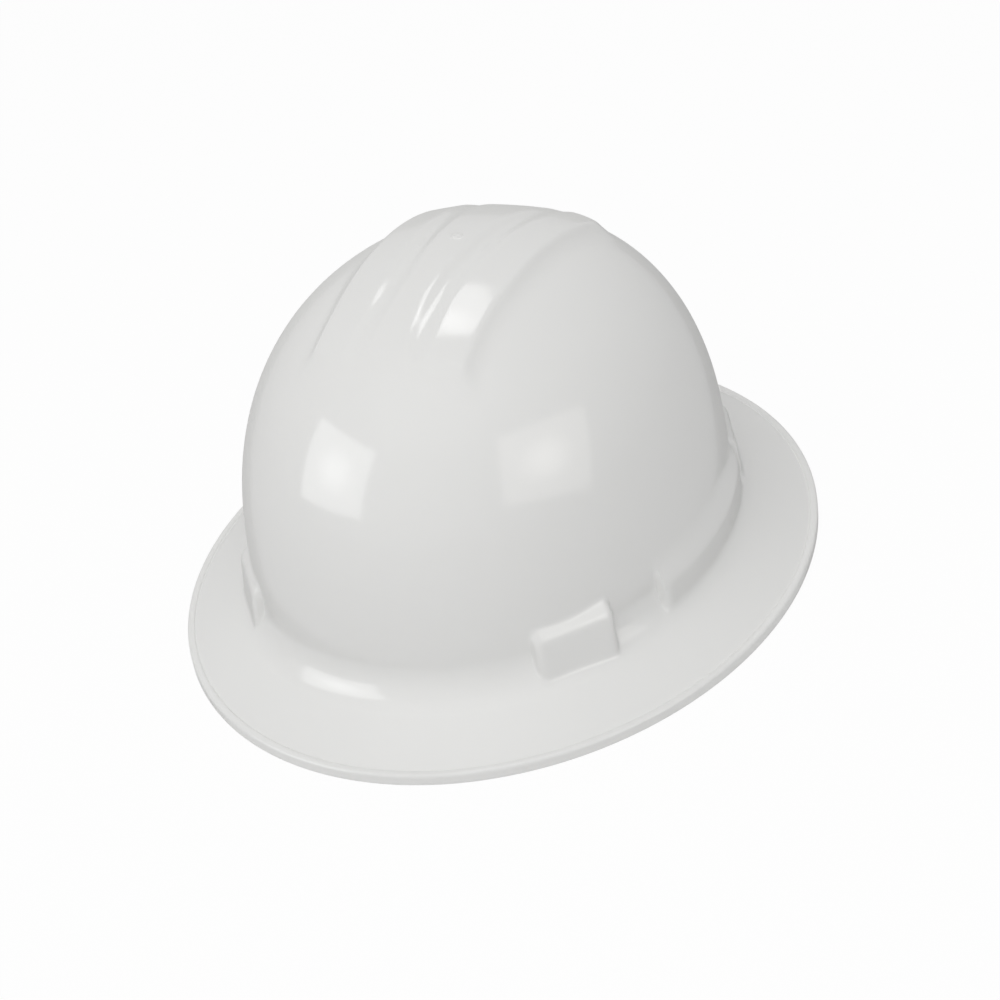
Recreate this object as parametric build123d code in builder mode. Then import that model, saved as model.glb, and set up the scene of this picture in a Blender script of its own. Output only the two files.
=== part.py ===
from build123d import *
import os
from math import atan2, cos, degrees, hypot, pi, radians, sin, sqrt, tan

# Full brim hard hat: moulded shell, crown straps on four keys, headband and ratchet.
# Millimetres, +Z up. The hat stands on its rim at z = 0, with its face at -Y, its nape
# at +Y and the wearer's left at +X.

os.makedirs("parts", exist_ok=True)

# Shell
rim_half_width = 137.0
rim_half_length = 160.3
rim_middle_y = -0.3
wall = 2.5
bead_width = 3.4
bead_height = 5.0
bead_round = 1.1
brim_edge_height = 3.4
brim_slope = 25.0
brim_width = 34.0
brim_end_width = 36.7
flare_radius = 18.0
dome_middle_y = -3.8
dome_fullness = 2.39
dome_top_angle = 81.0
dome_ring_count = 8
flare_shares = (1, 0.67, 0.34, 0)
overrun = 4.0
running_gap = 0.3

# Crown ridges
crest_height = 155.7
crest_stand = 4.7
crest_radius = 150.0
crest_half_width_share = 0.3603
crest_crown = 5.2
crest_foot_width = 12.0
crest_foot_drop = 10.5
crest_depth = 30.0
crest_shoulder_round = 7.0
groove_offset_share = 0.1323
groove_radius = 5.0
groove_depth = 2.6
crest_reach_share = 0.5742
crest_end_drop = 21.7
crest_end_slope = 30.0
crest_end_half_width_share = 0.5133
crest_end_round = 36.0
crest_fade_radius = 127.2
crest_fade_stand = 1.6
crest_base_drop = 45.7

# Key bosses, placed by the fold line of the outer face as shares of the dome, and the
# sockets inside them
boss_width = 34.0
boss_fold_height = 34.5
boss_lean = 0.12
boss_roof_slope = 55.0
boss_depth = 12.0
boss_bottom = 6.0
boss_round = 2.0
front_boss_x_share = 0.7552
front_boss_y_share = -0.703
front_boss_skew = -2.5
rear_boss_run = 60.1
rear_boss_stand_share = 1.0362
rear_boss_skew = -2.9
socket_outer_wall = 2.4
socket_gap = 3.8
socket_web = 2.0
socket_width = 26.0
socket_side_wall = 2.5
socket_top = 32.0
socket_bottom = 17.5

# Accessory bosses at the sides, each with a straight slot open from below
side_pad_middle_y = -0.8
side_pad_length_share = 0.392
side_pad_stand = 4.2
side_pad_flare = 0.5
side_pad_fold_height = 31.5
side_pad_roof_slope = 66.0
side_pad_sink = 3.0
side_pad_bottom = 8.0
side_pad_round = 1.2
slot_width = 36.0
slot_gap = 4.6
slot_stand = 0.7
slot_top = 33.0
slot_web = 2.2

# Suspension keys
key_blade_width = 24.0
key_blade_top = 30.5
key_foot_bottom = 12.3
key_foot_thickness = 3.0
key_plate_width = 28.0
key_plate_thickness = 3.0
key_plate_top = 47.0
key_bar_height = 3.6
key_slot_height = 3.4
key_corner_round = 2.5
front_arm_gap = 5.2
rear_arm_gap = 8.7
post_radius = 2.4
post_height = 22.0
post_head_radius = 3.2
post_head_thickness = 1.2

# Crown straps
strap_width = 19.0
strap_thickness = 1.3
strap_slot_play = 0.7
strap_loop_play = 0.35
strap_loop_round = 1.6
strap_spring_height = 48.0
strap_drop = 37.7
strap_lap = 24.0
strap_cross_gap = 1.1

# Headband
band_width_share = 0.77
band_side_run = 12.0
brow_air = 9.7
knob_air = 7.7
band_thickness = 2.0
band_bottom = 9.0
band_top = 39.0
band_end_angle = 52.0
arm_width = 14.0
arm_thickness = 2.0
arm_web_thickness = 2.4
arm_bottom = 16.8
arm_hole_pitch = 6.5
arm_round = 4.0
guide_start_angle = 47.0
guide_wall = 1.8

# Brow pad and nape pad
brow_thickness = 5.0
brow_skin = 1.2
brow_end_share = 0.393
brow_window_height = 15.0
brow_round = 1.8
brow_notch_play = 2.5
nape_pad_thickness = 5.5
nape_pad_half_angle = 21.0
nape_pad_height = 28.0
nape_pad_round = 2.0

# Toothed nape straps
tail_height = 24.0
tail_thickness = 1.6
tail_middle_height = 22.0
tail_front_angle = 24.0
tail_rear_angle = 117.5
tail_tip_round = 5.0
rack_turn = 19.7

# Ratchet gear and housing
gear_module = 1.1
gear_teeth = 10
tooth_middle_share = 0.36
tooth_tip_share = 0.17
tooth_root_play = 0.275
rack_clear = 0.45
gear_side_play = 0.2
rack_gap_count = 19
rack_half_angle = 24.75
shaft_radius = 3.0
journal_radius = 2.2
bore_play = 0.06
square_side = 4.1
housing_half_angle = 24.0
housing_plate = 2.3
housing_cover = 2.5
housing_rail = 4.5
seat_play = 0.05
tower_radius = 15.5
tower_height = 4.0
click_cavity_radius = 12.2
click_cavity_depth = 2.8
click_tooth_count = 36
click_tooth_depth = 0.9
click_play = 0.3
spring_thickness = 1.0
spring_hub_radius = 5.2
spring_arm_width = 1.6
spring_foot_radius = 3.6
spring_bow_radius = 7.6
spring_bow_angle = 80.0
spring_tip_angle = 150.0
housing_screw_radius = 1.2
housing_screw_head_radius = 2.1
housing_screw_head_height = 1.2
housing_screw_grip = 1.5
housing_screw_angle = 20.0

# Knob
knob_radius = 18.0
knob_depth = 10.0
knob_round = 1.2
knob_flange = 1.4
grip_thickness = 1.8
grip_lip = 0.6
grip_rib_count = 24
grip_rib_radius = 0.9
knob_recess_radius = 5.0
knob_recess_depth = 2.2
knob_web = 2.4
knob_screw_radius = 1.2
knob_screw_head_radius = 3.2
knob_screw_head_height = 1.5
knob_screw_reach = 6.0
knob_hub_radius = 4.8
finger_dent_radius = 3.2
finger_dent_depth = 1.2
finger_dent_ring = 10.3
finger_dent_count = 3

# Values worked out from the sizes above
slope_rise = tan(radians(brim_slope))
slope_spread = 1 / cos(radians(brim_slope))
flare_foot = flare_radius * (1 - sin(radians(brim_slope)))
flare_start = brim_edge_height + flare_radius / slope_spread + (brim_width - flare_foot) * slope_rise
dome_half_width = rim_half_width - bead_width / 2 - brim_width
dome_half_length = rim_half_length - bead_width / 2 - brim_end_width
dome_rise = crest_height - crest_stand - flare_start
crest_half_width = crest_half_width_share * dome_half_width
crest_end_half_width = crest_end_half_width_share * dome_half_width
crest_reach = crest_reach_share * dome_half_length
groove_offset = groove_offset_share * dome_half_width
side_pad_half_length = side_pad_length_share * dome_half_length
slot_outer_x = dome_half_width + slot_stand
socket_depth = socket_outer_wall + socket_gap + socket_web
strap_apex_height = crest_height - strap_drop

# Layers of the nape, from the headband out to the knob, and the band's place from them
band_half_width = band_width_share * dome_half_width
band_outer = band_half_width + band_thickness / 2
layer_pitch = tail_thickness + running_gap
first_layer = band_outer + running_gap
channel_outer = first_layer + layer_pitch + layer_pitch
channel_bottom = tail_middle_height - tail_height / 2 - running_gap
channel_height = tail_height + running_gap + running_gap
housing_outer = channel_outer + housing_cover
housing_height = channel_height + housing_rail + housing_rail
knob_end_y = dome_middle_y + dome_half_length - wall - knob_air
knob_y = knob_end_y - knob_depth
tower_y = knob_y - running_gap
nape_y = tower_y - tower_height - housing_outer
plate_y = nape_y + band_outer
band_middle_y = nape_y - band_side_run
band_half_length = band_middle_y - dome_middle_y + dome_half_length - brow_air
brow_end_y = band_middle_y - brow_end_share * band_half_length
gear_radius = gear_module * gear_teeth / 2
gear_tip = gear_radius + gear_module
gear_root = gear_radius - gear_module - tooth_root_play
tooth_pitch = pi * gear_module
knob_core_radius = knob_radius - grip_thickness

# Places of the bosses on the dome's oval, and the line of the straps between them
front_boss_x = front_boss_x_share * dome_half_width
front_boss_y = dome_middle_y + front_boss_y_share * dome_half_length
front_boss_turn = front_boss_skew + degrees(atan2(front_boss_y_share / dome_half_length,
                                                  front_boss_x_share / dome_half_width))
rear_boss_y = nape_y + rear_boss_run
rear_boss_y_share = (rear_boss_y - dome_middle_y) / dome_half_length
rear_boss_x_share = sqrt(rear_boss_stand_share ** 2 - rear_boss_y_share ** 2)
rear_boss_x = rear_boss_x_share * dome_half_width
rear_boss_turn = rear_boss_skew + degrees(atan2(rear_boss_y_share / dome_half_length,
                                                rear_boss_x_share / dome_half_width))
strap_turn = degrees(atan2(rear_boss_y - front_boss_y, front_boss_x + rear_boss_x))
cross_y = front_boss_y + front_boss_x * tan(radians(strap_turn))
front_key_reach = hypot(front_boss_x, front_boss_y - cross_y)
rear_key_reach = hypot(rear_boss_x, rear_boss_y - cross_y)
key_rows = [(row, side) for row in ("front", "rear") for side in (1, -1)]
side_names = {1: "left", -1: "right"}


# Planes
def face_plane(x, y, turn, outward, height=0):
    """Upright plane that faces outwards at a turn from +X, a distance out from a point."""
    away = radians(turn)
    origin = (x + outward * cos(away), y + outward * sin(away), height)
    return Plane(origin=origin, x_dir=(-sin(away), cos(away), 0), z_dir=(cos(away), sin(away), 0))


def side_plane(x, y, turn):
    """Upright plane seen from the side: its x runs outwards at a turn from +X, its y up."""
    away = radians(turn)
    return Plane(origin=(x, y, 0), x_dir=(cos(away), sin(away), 0), z_dir=(sin(away), -cos(away), 0))


def floor_plane(x, y, turn, height):
    """Level plane at a height, its x running outwards at a turn from +X."""
    away = radians(turn)
    return Plane(origin=(x, y, height), x_dir=(cos(away), sin(away), 0), z_dir=(0, 0, 1))


def knob_plane(y):
    """Upright plane across the knob's axis, facing the nape."""
    return Plane(origin=(0, y, tail_middle_height), x_dir=(-1, 0, 0), z_dir=(0, 1, 0))


def band_distance(x, y, cross, middle_y, half_length):
    """Distance from a place by a key boss to the oval of the headband's outer face, along a strap."""
    across = cos(radians(cross)) / band_outer
    along = sin(radians(cross)) / half_length
    from_x = x / band_outer
    from_y = (y - middle_y) / half_length
    square = across ** 2 + along ** 2
    slope = across * from_x + along * from_y
    return (slope - sqrt(slope ** 2 - square * (from_x ** 2 + from_y ** 2 - 1))) / square


def key_place(row, side):
    """Place of a key: x, y, the turn of its boss, the turn of its strap and its set-in."""
    if row == "front":
        x, y, turn, cross, gap = front_boss_x, front_boss_y, front_boss_turn, -strap_turn, front_arm_gap
        reach = band_distance(x, y, cross, band_middle_y, band_half_length + band_thickness / 2)
    else:
        x, y, turn, cross, gap = rear_boss_x, rear_boss_y, rear_boss_turn, strap_turn, rear_arm_gap
        reach = band_distance(x, y, cross, nape_y, band_outer)
    set_in = reach - gap - key_plate_thickness - running_gap
    if side < 0:
        return -x, y, 180 - turn, 180 - cross, set_in
    return x, y, turn, cross, set_in


# Shell surfaces: a stack of ellipses, blended from the dome's wall to the rim
def ring_at(height, outward):
    """Height, half width, half length and middle of the ring that lies outward of the wall."""
    share = max(outward, 0) / brim_width
    half_length = dome_half_length + share * brim_end_width + min(outward, 0)
    middle_y = dome_middle_y + share * (rim_middle_y - dome_middle_y)
    return height, dome_half_width + outward, half_length, middle_y


def shell_rings(inset, past):
    """Rings from past the rim to the crown, on the surface that lies inset under the outside."""
    rings = []
    for outward in (brim_width + past, (brim_width + flare_foot) / 2):
        height = brim_edge_height + (brim_width - outward) * slope_rise - inset * slope_spread
        rings.append(ring_at(height, outward))
    radius = flare_radius + inset
    for share in flare_shares:
        turn = radians((90 - brim_slope) * share)
        rings.append(ring_at(flare_start - radius * sin(turn), flare_radius - radius * cos(turn)))
    for step in range(1, dome_ring_count + 1):
        turn = radians(dome_top_angle * step / dome_ring_count)
        reach = cos(turn) ** (2 / dome_fullness)
        height = flare_start + (dome_rise - inset) * sin(turn) ** (2 / dome_fullness)
        rings.append((height, (dome_half_width - inset) * reach, (dome_half_length - inset) * reach,
                      dome_middle_y))
    return rings


def shell_skin(inset, past):
    """Solid inside the surface that lies inset under the outside, run on past the rim."""
    with BuildPart() as skin:
        for height, half_width, half_length, middle_y in shell_rings(inset, past):
            with BuildSketch(Plane.XY.offset(height)):
                with Locations((0, middle_y)):
                    Ellipse(half_width, half_length)
        loft()
    return skin.part


def crest_bar(inset):
    """Three ridges and two grooves, turned about a cross axis, their ends sloped and faded."""
    axis_height = crest_height - crest_radius
    crest_base_level = crest_height - crest_base_drop
    top = crest_radius - inset
    side = crest_half_width - inset / 2
    foot = side + crest_foot_width
    shoulder = top - crest_crown
    foot_level = shoulder - crest_foot_drop
    base_level = top - crest_depth
    hollow_level = crest_radius - groove_depth + groove_radius
    widen = (crest_base_drop - crest_end_drop) * tan(radians(crest_end_slope)) - inset
    with BuildPart() as bar:
        with BuildSketch(Plane.XZ.offset(-dome_middle_y)) as section:
            with BuildLine():
                ThreePointArc((-side, axis_height + shoulder), (0, axis_height + top),
                              (side, axis_height + shoulder))
                Polyline((side, axis_height + shoulder), (foot, axis_height + foot_level),
                         (foot, axis_height + base_level), (-foot, axis_height + base_level),
                         (-foot, axis_height + foot_level), (-side, axis_height + shoulder))
            make_face()
            fillet(section.vertices().group_by(Axis.Y)[-1], radius=crest_shoulder_round)
            with Locations((-groove_offset, axis_height + hollow_level),
                           (groove_offset, axis_height + hollow_level)):
                Circle(groove_radius + inset, mode=Mode.SUBTRACT)
        revolve(axis=Axis((0, dome_middle_y, axis_height), (1, 0, 0)))
        with BuildSketch(Plane.XY.offset(crest_base_level)):
            with Locations((0, dome_middle_y)):
                RectangleRounded(2 * (crest_end_half_width + widen), 2 * (crest_reach + widen),
                                 crest_end_round + widen)
        extrude(amount=crest_height - crest_base_level + overrun, taper=crest_end_slope,
                mode=Mode.INTERSECT)
        with BuildSketch(Plane.YZ):
            with Locations((dome_middle_y, crest_height + crest_fade_stand - crest_fade_radius)):
                Circle(crest_fade_radius - inset)
        extrude(amount=foot, both=True, mode=Mode.INTERSECT)
    return bar.part


def key_boss(row, side):
    """Boss with a leaning outer face, a sloped roof and rounded edges, sunk into the dome."""
    x, y, turn, cross, set_in = key_place(row, side)
    plane = side_plane(x, y, turn)
    roof_run = boss_depth / 2
    roof_top = boss_fold_height + roof_run * tan(radians(boss_roof_slope))
    foot_out = (boss_fold_height - boss_bottom) * boss_lean
    with BuildPart() as boss:
        with BuildSketch(plane):
            with BuildLine():
                Polyline((-boss_depth, boss_bottom), (foot_out, boss_bottom), (0, boss_fold_height),
                         (-roof_run, roof_top), (-boss_depth, roof_top), close=True)
            make_face()
        extrude(amount=boss_width / 2, both=True)
        edges = [edge for edge in boss.edges()
                 if plane.to_local_coords(edge.center()).X > boss_round - roof_run
                 and edge.center().Z > boss_bottom + boss_round]
        fillet(edges, radius=boss_round)
    return boss.part


def side_belt():
    """Belt round the dome, cut to the length of the two accessory bosses."""
    roof_rise = (side_pad_stand + side_pad_sink) * tan(radians(side_pad_roof_slope))
    levels = ((side_pad_bottom, side_pad_stand + side_pad_flare), (side_pad_fold_height, side_pad_stand),
              (side_pad_fold_height + roof_rise, -side_pad_sink))
    with BuildPart() as belt:
        for height, stand in levels:
            with BuildSketch(Plane.XY.offset(height)):
                with Locations((0, dome_middle_y)):
                    Ellipse(dome_half_width + stand, dome_half_length + stand)
        loft(ruled=True)
        with BuildSketch(Plane.XY.offset(side_pad_bottom)):
            with Locations((0, side_pad_middle_y)):
                Rectangle(2 * rim_half_width, 2 * side_pad_half_length)
        extrude(amount=side_pad_fold_height + roof_rise, mode=Mode.INTERSECT)
    return belt.part


def rim_bead():
    """Ring along the rim with rounded top edges and a flat land below."""
    with BuildPart() as bead:
        with BuildSketch():
            with Locations((0, rim_middle_y)):
                Ellipse(rim_half_width, rim_half_length)
                Ellipse(rim_half_width - bead_width, rim_half_length - bead_width, mode=Mode.SUBTRACT)
        extrude(amount=bead_height)
        fillet(bead.edges().group_by(Axis.Z)[-1], radius=bead_round)
    return bead.part


# Shell
outer_skin = shell_skin(0, 0)
inner_skin = shell_skin(wall, overrun)
outer_crest = crest_bar(0)
inner_crest = crest_bar(wall)
bosses = [key_boss(row, side) for row, side in key_rows]
belt_solid = side_belt()
bead_solid = rim_bead()

with BuildPart() as shell:
    add(outer_skin)
    with BuildSketch():
        with Locations((0, rim_middle_y)):
            Ellipse(rim_half_width - bead_width / 2, rim_half_length - bead_width / 2)
    extrude(amount=brim_edge_height)
    add(outer_crest)
    for boss_solid in bosses:
        add(boss_solid)
    add(belt_solid)
    add(inner_skin, mode=Mode.SUBTRACT)
    add(inner_crest, mode=Mode.SUBTRACT)
    add(bead_solid)
    # Webs and pockets of the key sockets
    for row, side in key_rows:
        x, y, turn, cross, set_in = key_place(row, side)
        with BuildSketch(floor_plane(x, y, turn, socket_bottom)):
            with Locations((-socket_depth / 2 - socket_outer_wall / 2, 0)):
                Rectangle(socket_depth - socket_outer_wall, socket_width + 2 * socket_side_wall)
        extrude(amount=socket_top + socket_web - socket_bottom)
        with BuildSketch(floor_plane(x, y, turn, -overrun)):
            with Locations((-socket_outer_wall - socket_gap / 2, 0)):
                Rectangle(socket_gap, socket_width)
        extrude(amount=socket_top + overrun, mode=Mode.SUBTRACT)
    # Webs and slots for accessories
    for side in side_names:
        slot_x = side * (slot_outer_x - slot_gap / 2)
        with BuildSketch(Plane.XY.offset(socket_bottom)):
            with Locations((slot_x - side * slot_web / 2, side_pad_middle_y)):
                Rectangle(slot_gap + slot_web, slot_width + 2 * slot_web)
        extrude(amount=slot_top + slot_web - socket_bottom)
        with BuildSketch(Plane.XY.offset(-overrun)):
            with Locations((slot_x, side_pad_middle_y)):
                Rectangle(slot_gap, slot_width)
        extrude(amount=slot_top + overrun, mode=Mode.SUBTRACT)
shell.part.label = "shell"
export_step(shell.part, "parts/shell.step")

# Suspension keys: blade in the boss, foot under the web, plate with a strap slot and a post
for row, side in key_rows:
    x, y, turn, cross, set_in = key_place(row, side)
    blade_thickness = socket_gap - 2 * running_gap
    blade_out = -socket_outer_wall - running_gap
    with BuildPart() as key:
        with BuildSketch(floor_plane(x, y, turn, key_foot_bottom)):
            with Locations((blade_out - blade_thickness / 2, 0)):
                Rectangle(blade_thickness, key_blade_width)
        extrude(amount=key_blade_top - key_foot_bottom)
        with BuildSketch(floor_plane(x, y, 0, key_foot_bottom)) as foot:
            for angle, out, depth, width in ((turn, blade_out, blade_thickness, key_blade_width),
                                             (cross, -set_in, key_plate_thickness, key_plate_width)):
                middle = out - depth / 2
                with Locations(Location((middle * cos(radians(angle)), middle * sin(radians(angle))), angle)):
                    Rectangle(depth, width)
            make_hull(foot.edges())
        extrude(amount=key_foot_thickness)
        with BuildSketch(face_plane(x, y, cross, -set_in)) as plate:
            with Locations((0, (key_foot_bottom + key_plate_top) / 2)):
                Rectangle(key_plate_width, key_plate_top - key_foot_bottom)
            fillet(plate.vertices().group_by(Axis.Y)[-1], radius=key_corner_round)
            with Locations((0, key_plate_top - key_bar_height - key_slot_height / 2)):
                Rectangle(strap_width + 2 * strap_slot_play, key_slot_height, mode=Mode.SUBTRACT)
        extrude(amount=-key_plate_thickness)
        post_start = -set_in - key_plate_thickness
        post_length = running_gap + arm_thickness + running_gap
        with BuildSketch(face_plane(x, y, cross, post_start, post_height)):
            Circle(post_radius)
        extrude(amount=-post_length)
        with BuildSketch(face_plane(x, y, cross, post_start - post_length, post_height)):
            Circle(post_head_radius)
        extrude(amount=-post_head_thickness)
    key.part.label = f"{row}_{side_names[side]}_key"
    export_step(key.part, f"parts/{key.part.label}.step")

# Crown straps: an arch on edge, lapped at its ends and looped round the keys' bars
loop_bar_middle = key_plate_top - key_bar_height / 2
loop_half_depth = key_plate_thickness / 2 + strap_loop_play
loop_half_height = key_bar_height / 2 + strap_loop_play
front_foot = front_key_reach - key_place("front", 1)[-1] - key_plate_thickness / 2
rear_foot = key_place("rear", 1)[-1] + key_plate_thickness / 2 - rear_key_reach
arch_middle = (front_foot + rear_foot) / 2
arch_reach = (front_foot - rear_foot) / 2 + strap_thickness

strap_layers = (("crown_strap_upper", 1, 0), ("crown_strap_lower", -1, strap_thickness + strap_cross_gap))
for name, side, lower in strap_layers:
    strap_plane = side_plane(0, cross_y, -strap_turn if side > 0 else 180 + strap_turn)
    rise = strap_apex_height - lower - strap_spring_height
    lap_height = strap_spring_height + strap_lap
    with BuildPart() as strap:
        with BuildSketch(strap_plane):
            # Lapped ends: two thicknesses, up to the height of the lap
            with Locations((arch_middle, strap_spring_height)):
                Ellipse(arch_reach, rise)
                Ellipse(arch_reach - 2 * strap_thickness, rise - 2 * strap_thickness, mode=Mode.SUBTRACT)
            with Locations((arch_middle, (strap_spring_height + lap_height) / 2)):
                Rectangle(2 * arch_reach, lap_height - strap_spring_height, mode=Mode.INTERSECT)
            # Arch of one thickness
            with BuildSketch(mode=Mode.PRIVATE) as arch:
                with Locations((arch_middle, strap_spring_height)):
                    Ellipse(arch_reach, rise)
                    Ellipse(arch_reach - strap_thickness, rise - strap_thickness, mode=Mode.SUBTRACT)
                with Locations((arch_middle, strap_spring_height + rise / 2)):
                    Rectangle(2 * arch_reach, rise, mode=Mode.INTERSECT)
            add(arch.sketch)
            # Loops round the bars
            with Locations((front_foot, loop_bar_middle), (rear_foot, loop_bar_middle)):
                RectangleRounded(2 * (loop_half_depth + strap_thickness),
                                 2 * (loop_half_height + strap_thickness), strap_loop_round)
                Rectangle(2 * loop_half_depth, 2 * loop_half_height, mode=Mode.SUBTRACT)
        extrude(amount=strap_width / 2, both=True)
    strap.part.label = name
    export_step(strap.part, f"parts/{name}.step")


# Headband: plan outlines and rings
def band_plan(grow):
    """Face inside the band's outline, grown outwards: half an ellipse, sides and a nape arc."""
    half_width = band_half_width + grow
    with BuildSketch() as plan:
        with BuildLine():
            EllipticalCenterArc((0, band_middle_y), half_width, band_half_length + grow, 180, arc_size=180)
            Line((half_width, band_middle_y), (half_width, nape_y))
            CenterArc((0, nape_y), half_width, 0, 180)
            Line((-half_width, nape_y), (-half_width, band_middle_y))
        make_face()
    return plan.sketch


def band_ring(inner, outer, bottom, top):
    """Ring between two grown outlines of the band."""
    inner_plan = band_plan(inner)
    outer_plan = band_plan(outer)
    with BuildPart() as ring:
        with BuildSketch(Plane.XY.offset(bottom)):
            add(outer_plan)
            add(inner_plan, mode=Mode.SUBTRACT)
        extrude(amount=top - bottom)
    return ring.part


def nape_sector(inner, outer, start, end, bottom, top):
    """Part of a ring about the nape arc's middle, between two angles from +X."""
    with BuildPart() as sector:
        with BuildSketch(Plane.XY.offset(bottom)):
            with BuildLine():
                outside = CenterArc((0, nape_y), outer, start, end - start)
                inside = CenterArc((0, nape_y), inner, start, end - start)
                Line(outside @ 0, inside @ 0)
                Line(outside @ 1, inside @ 1)
            make_face()
        extrude(amount=top - bottom)
    return sector.part


band_inner = -band_thickness / 2
band_solid = band_ring(band_inner, -band_inner, band_bottom, band_top)
guide_bottom = channel_bottom - guide_wall
guide_top = channel_bottom + channel_height + guide_wall

with BuildPart() as headband:
    add(band_solid)
    # Opening at the nape
    with BuildSketch(Plane.XY.offset(band_bottom)):
        with BuildLine():
            far = rim_half_length / cos(radians(90 - band_end_angle))
            reach_x = far * cos(radians(band_end_angle))
            reach_y = nape_y + far * sin(radians(band_end_angle))
            Polyline((0, nape_y), (reach_x, reach_y), (-reach_x, reach_y), close=True)
        make_face()
    extrude(amount=band_top - band_bottom, mode=Mode.SUBTRACT)
    # Hanger arms: a web off the top edge and a tab with holes for the key's post
    for row, side in key_rows:
        x, y, turn, cross, set_in = key_place(row, side)
        tab_out = -set_in - key_plate_thickness - running_gap
        with BuildSketch(side_plane(x, y, cross)):
            with BuildLine():
                Polyline((tab_out, arm_bottom), (tab_out, band_top), (tab_out - arm_width, band_top),
                         (tab_out - arm_width, band_top - arm_web_thickness),
                         (tab_out - arm_thickness, band_top - arm_web_thickness),
                         (tab_out - arm_thickness, arm_bottom), close=True)
            make_face()
        extrude(amount=arm_width / 2, both=True)
        with BuildSketch(face_plane(x, y, cross, tab_out, post_height)):
            with Locations((0, 0), (0, arm_hole_pitch)):
                Circle(post_radius + running_gap)
        extrude(amount=-arm_thickness, mode=Mode.SUBTRACT)
    # Guide loops for the nape straps
    for start in (guide_start_angle, 180 - band_end_angle):
        loop_end = start + band_end_angle - guide_start_angle
        add(nape_sector(band_outer - band_thickness, channel_outer + guide_wall, start, loop_end,
                        guide_bottom, guide_top))
        add(nape_sector(band_outer, channel_outer, start, loop_end, channel_bottom,
                        channel_bottom + channel_height), mode=Mode.SUBTRACT)
    add(band_ring(band_inner - arm_width, band_inner, band_bottom, band_top + overrun), mode=Mode.SUBTRACT)
headband.part.label = "headband"
export_step(headband.part, "parts/headband.step")

# Brow pad: folded over the front of the headband, notched for the hanger arms
brow_inner = band_inner - running_gap - brow_thickness
brow_outer = -band_inner + running_gap + brow_skin
brow_bottom = band_bottom - running_gap - brow_skin
brow_top = band_top + running_gap + brow_skin
brow_solid = band_ring(brow_inner, brow_outer, brow_bottom, brow_top)
brow_bore = band_ring(band_inner - running_gap, -band_inner + running_gap, band_bottom - running_gap,
                      band_top + running_gap)
window_bottom = (band_bottom + band_top - brow_window_height) / 2
brow_window = band_ring(-band_inner + running_gap, brow_outer + overrun, window_bottom,
                        window_bottom + brow_window_height)

with BuildPart() as brow_pad:
    add(brow_solid)
    fillet(brow_pad.edges().group_by(Axis.Z)[-1] + brow_pad.edges().group_by(Axis.Z)[0],
           radius=brow_round)
    with BuildSketch(Plane.XY.offset(brow_bottom)):
        with Locations((0, brow_end_y)):
            Rectangle(2 * rim_half_width, 2 * rim_half_length, align=(Align.CENTER, Align.MAX))
    extrude(amount=brow_top - brow_bottom, mode=Mode.INTERSECT)
    add(brow_bore, mode=Mode.SUBTRACT)
    add(brow_window, mode=Mode.SUBTRACT)
    for side in side_names:
        x, y, turn, cross, set_in = key_place("front", side)
        notch = arm_width + 2 * brow_notch_play
        with BuildSketch(floor_plane(x, y, cross, window_bottom)):
            with Locations((-set_in - key_plate_thickness - running_gap, 0)):
                Rectangle(notch, notch, align=(Align.MAX, Align.CENTER))
        extrude(amount=band_top - window_bottom + running_gap, mode=Mode.SUBTRACT)
brow_pad.part.label = "brow_pad"
export_step(brow_pad.part, "parts/brow_pad.step")

# Nape pad: a rounded cushion on the front of the ratchet plate
plate_inner = band_outer - housing_plate
nape_pad_solid = nape_sector(plate_inner - running_gap - nape_pad_thickness, plate_inner - running_gap,
                             90 - nape_pad_half_angle, 90 + nape_pad_half_angle,
                             tail_middle_height - nape_pad_height / 2,
                             tail_middle_height + nape_pad_height / 2)

with BuildPart() as nape_pad:
    add(nape_pad_solid)
    fillet(nape_pad.edges(), radius=nape_pad_round)
nape_pad.part.label = "nape_pad"
export_step(nape_pad.part, "parts/nape_pad.step")

# Toothed nape straps: two layers that slide past each other, racks on opposite slot edges
rack_tip_line = gear_radius - gear_module
rack_root_line = gear_radius + gear_module + tooth_root_play
tooth_flare_share = (tooth_middle_share - tooth_tip_share) / gear_module
tail_bottom = tail_middle_height - tail_height / 2
tail_top = tail_middle_height + tail_height / 2

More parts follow.
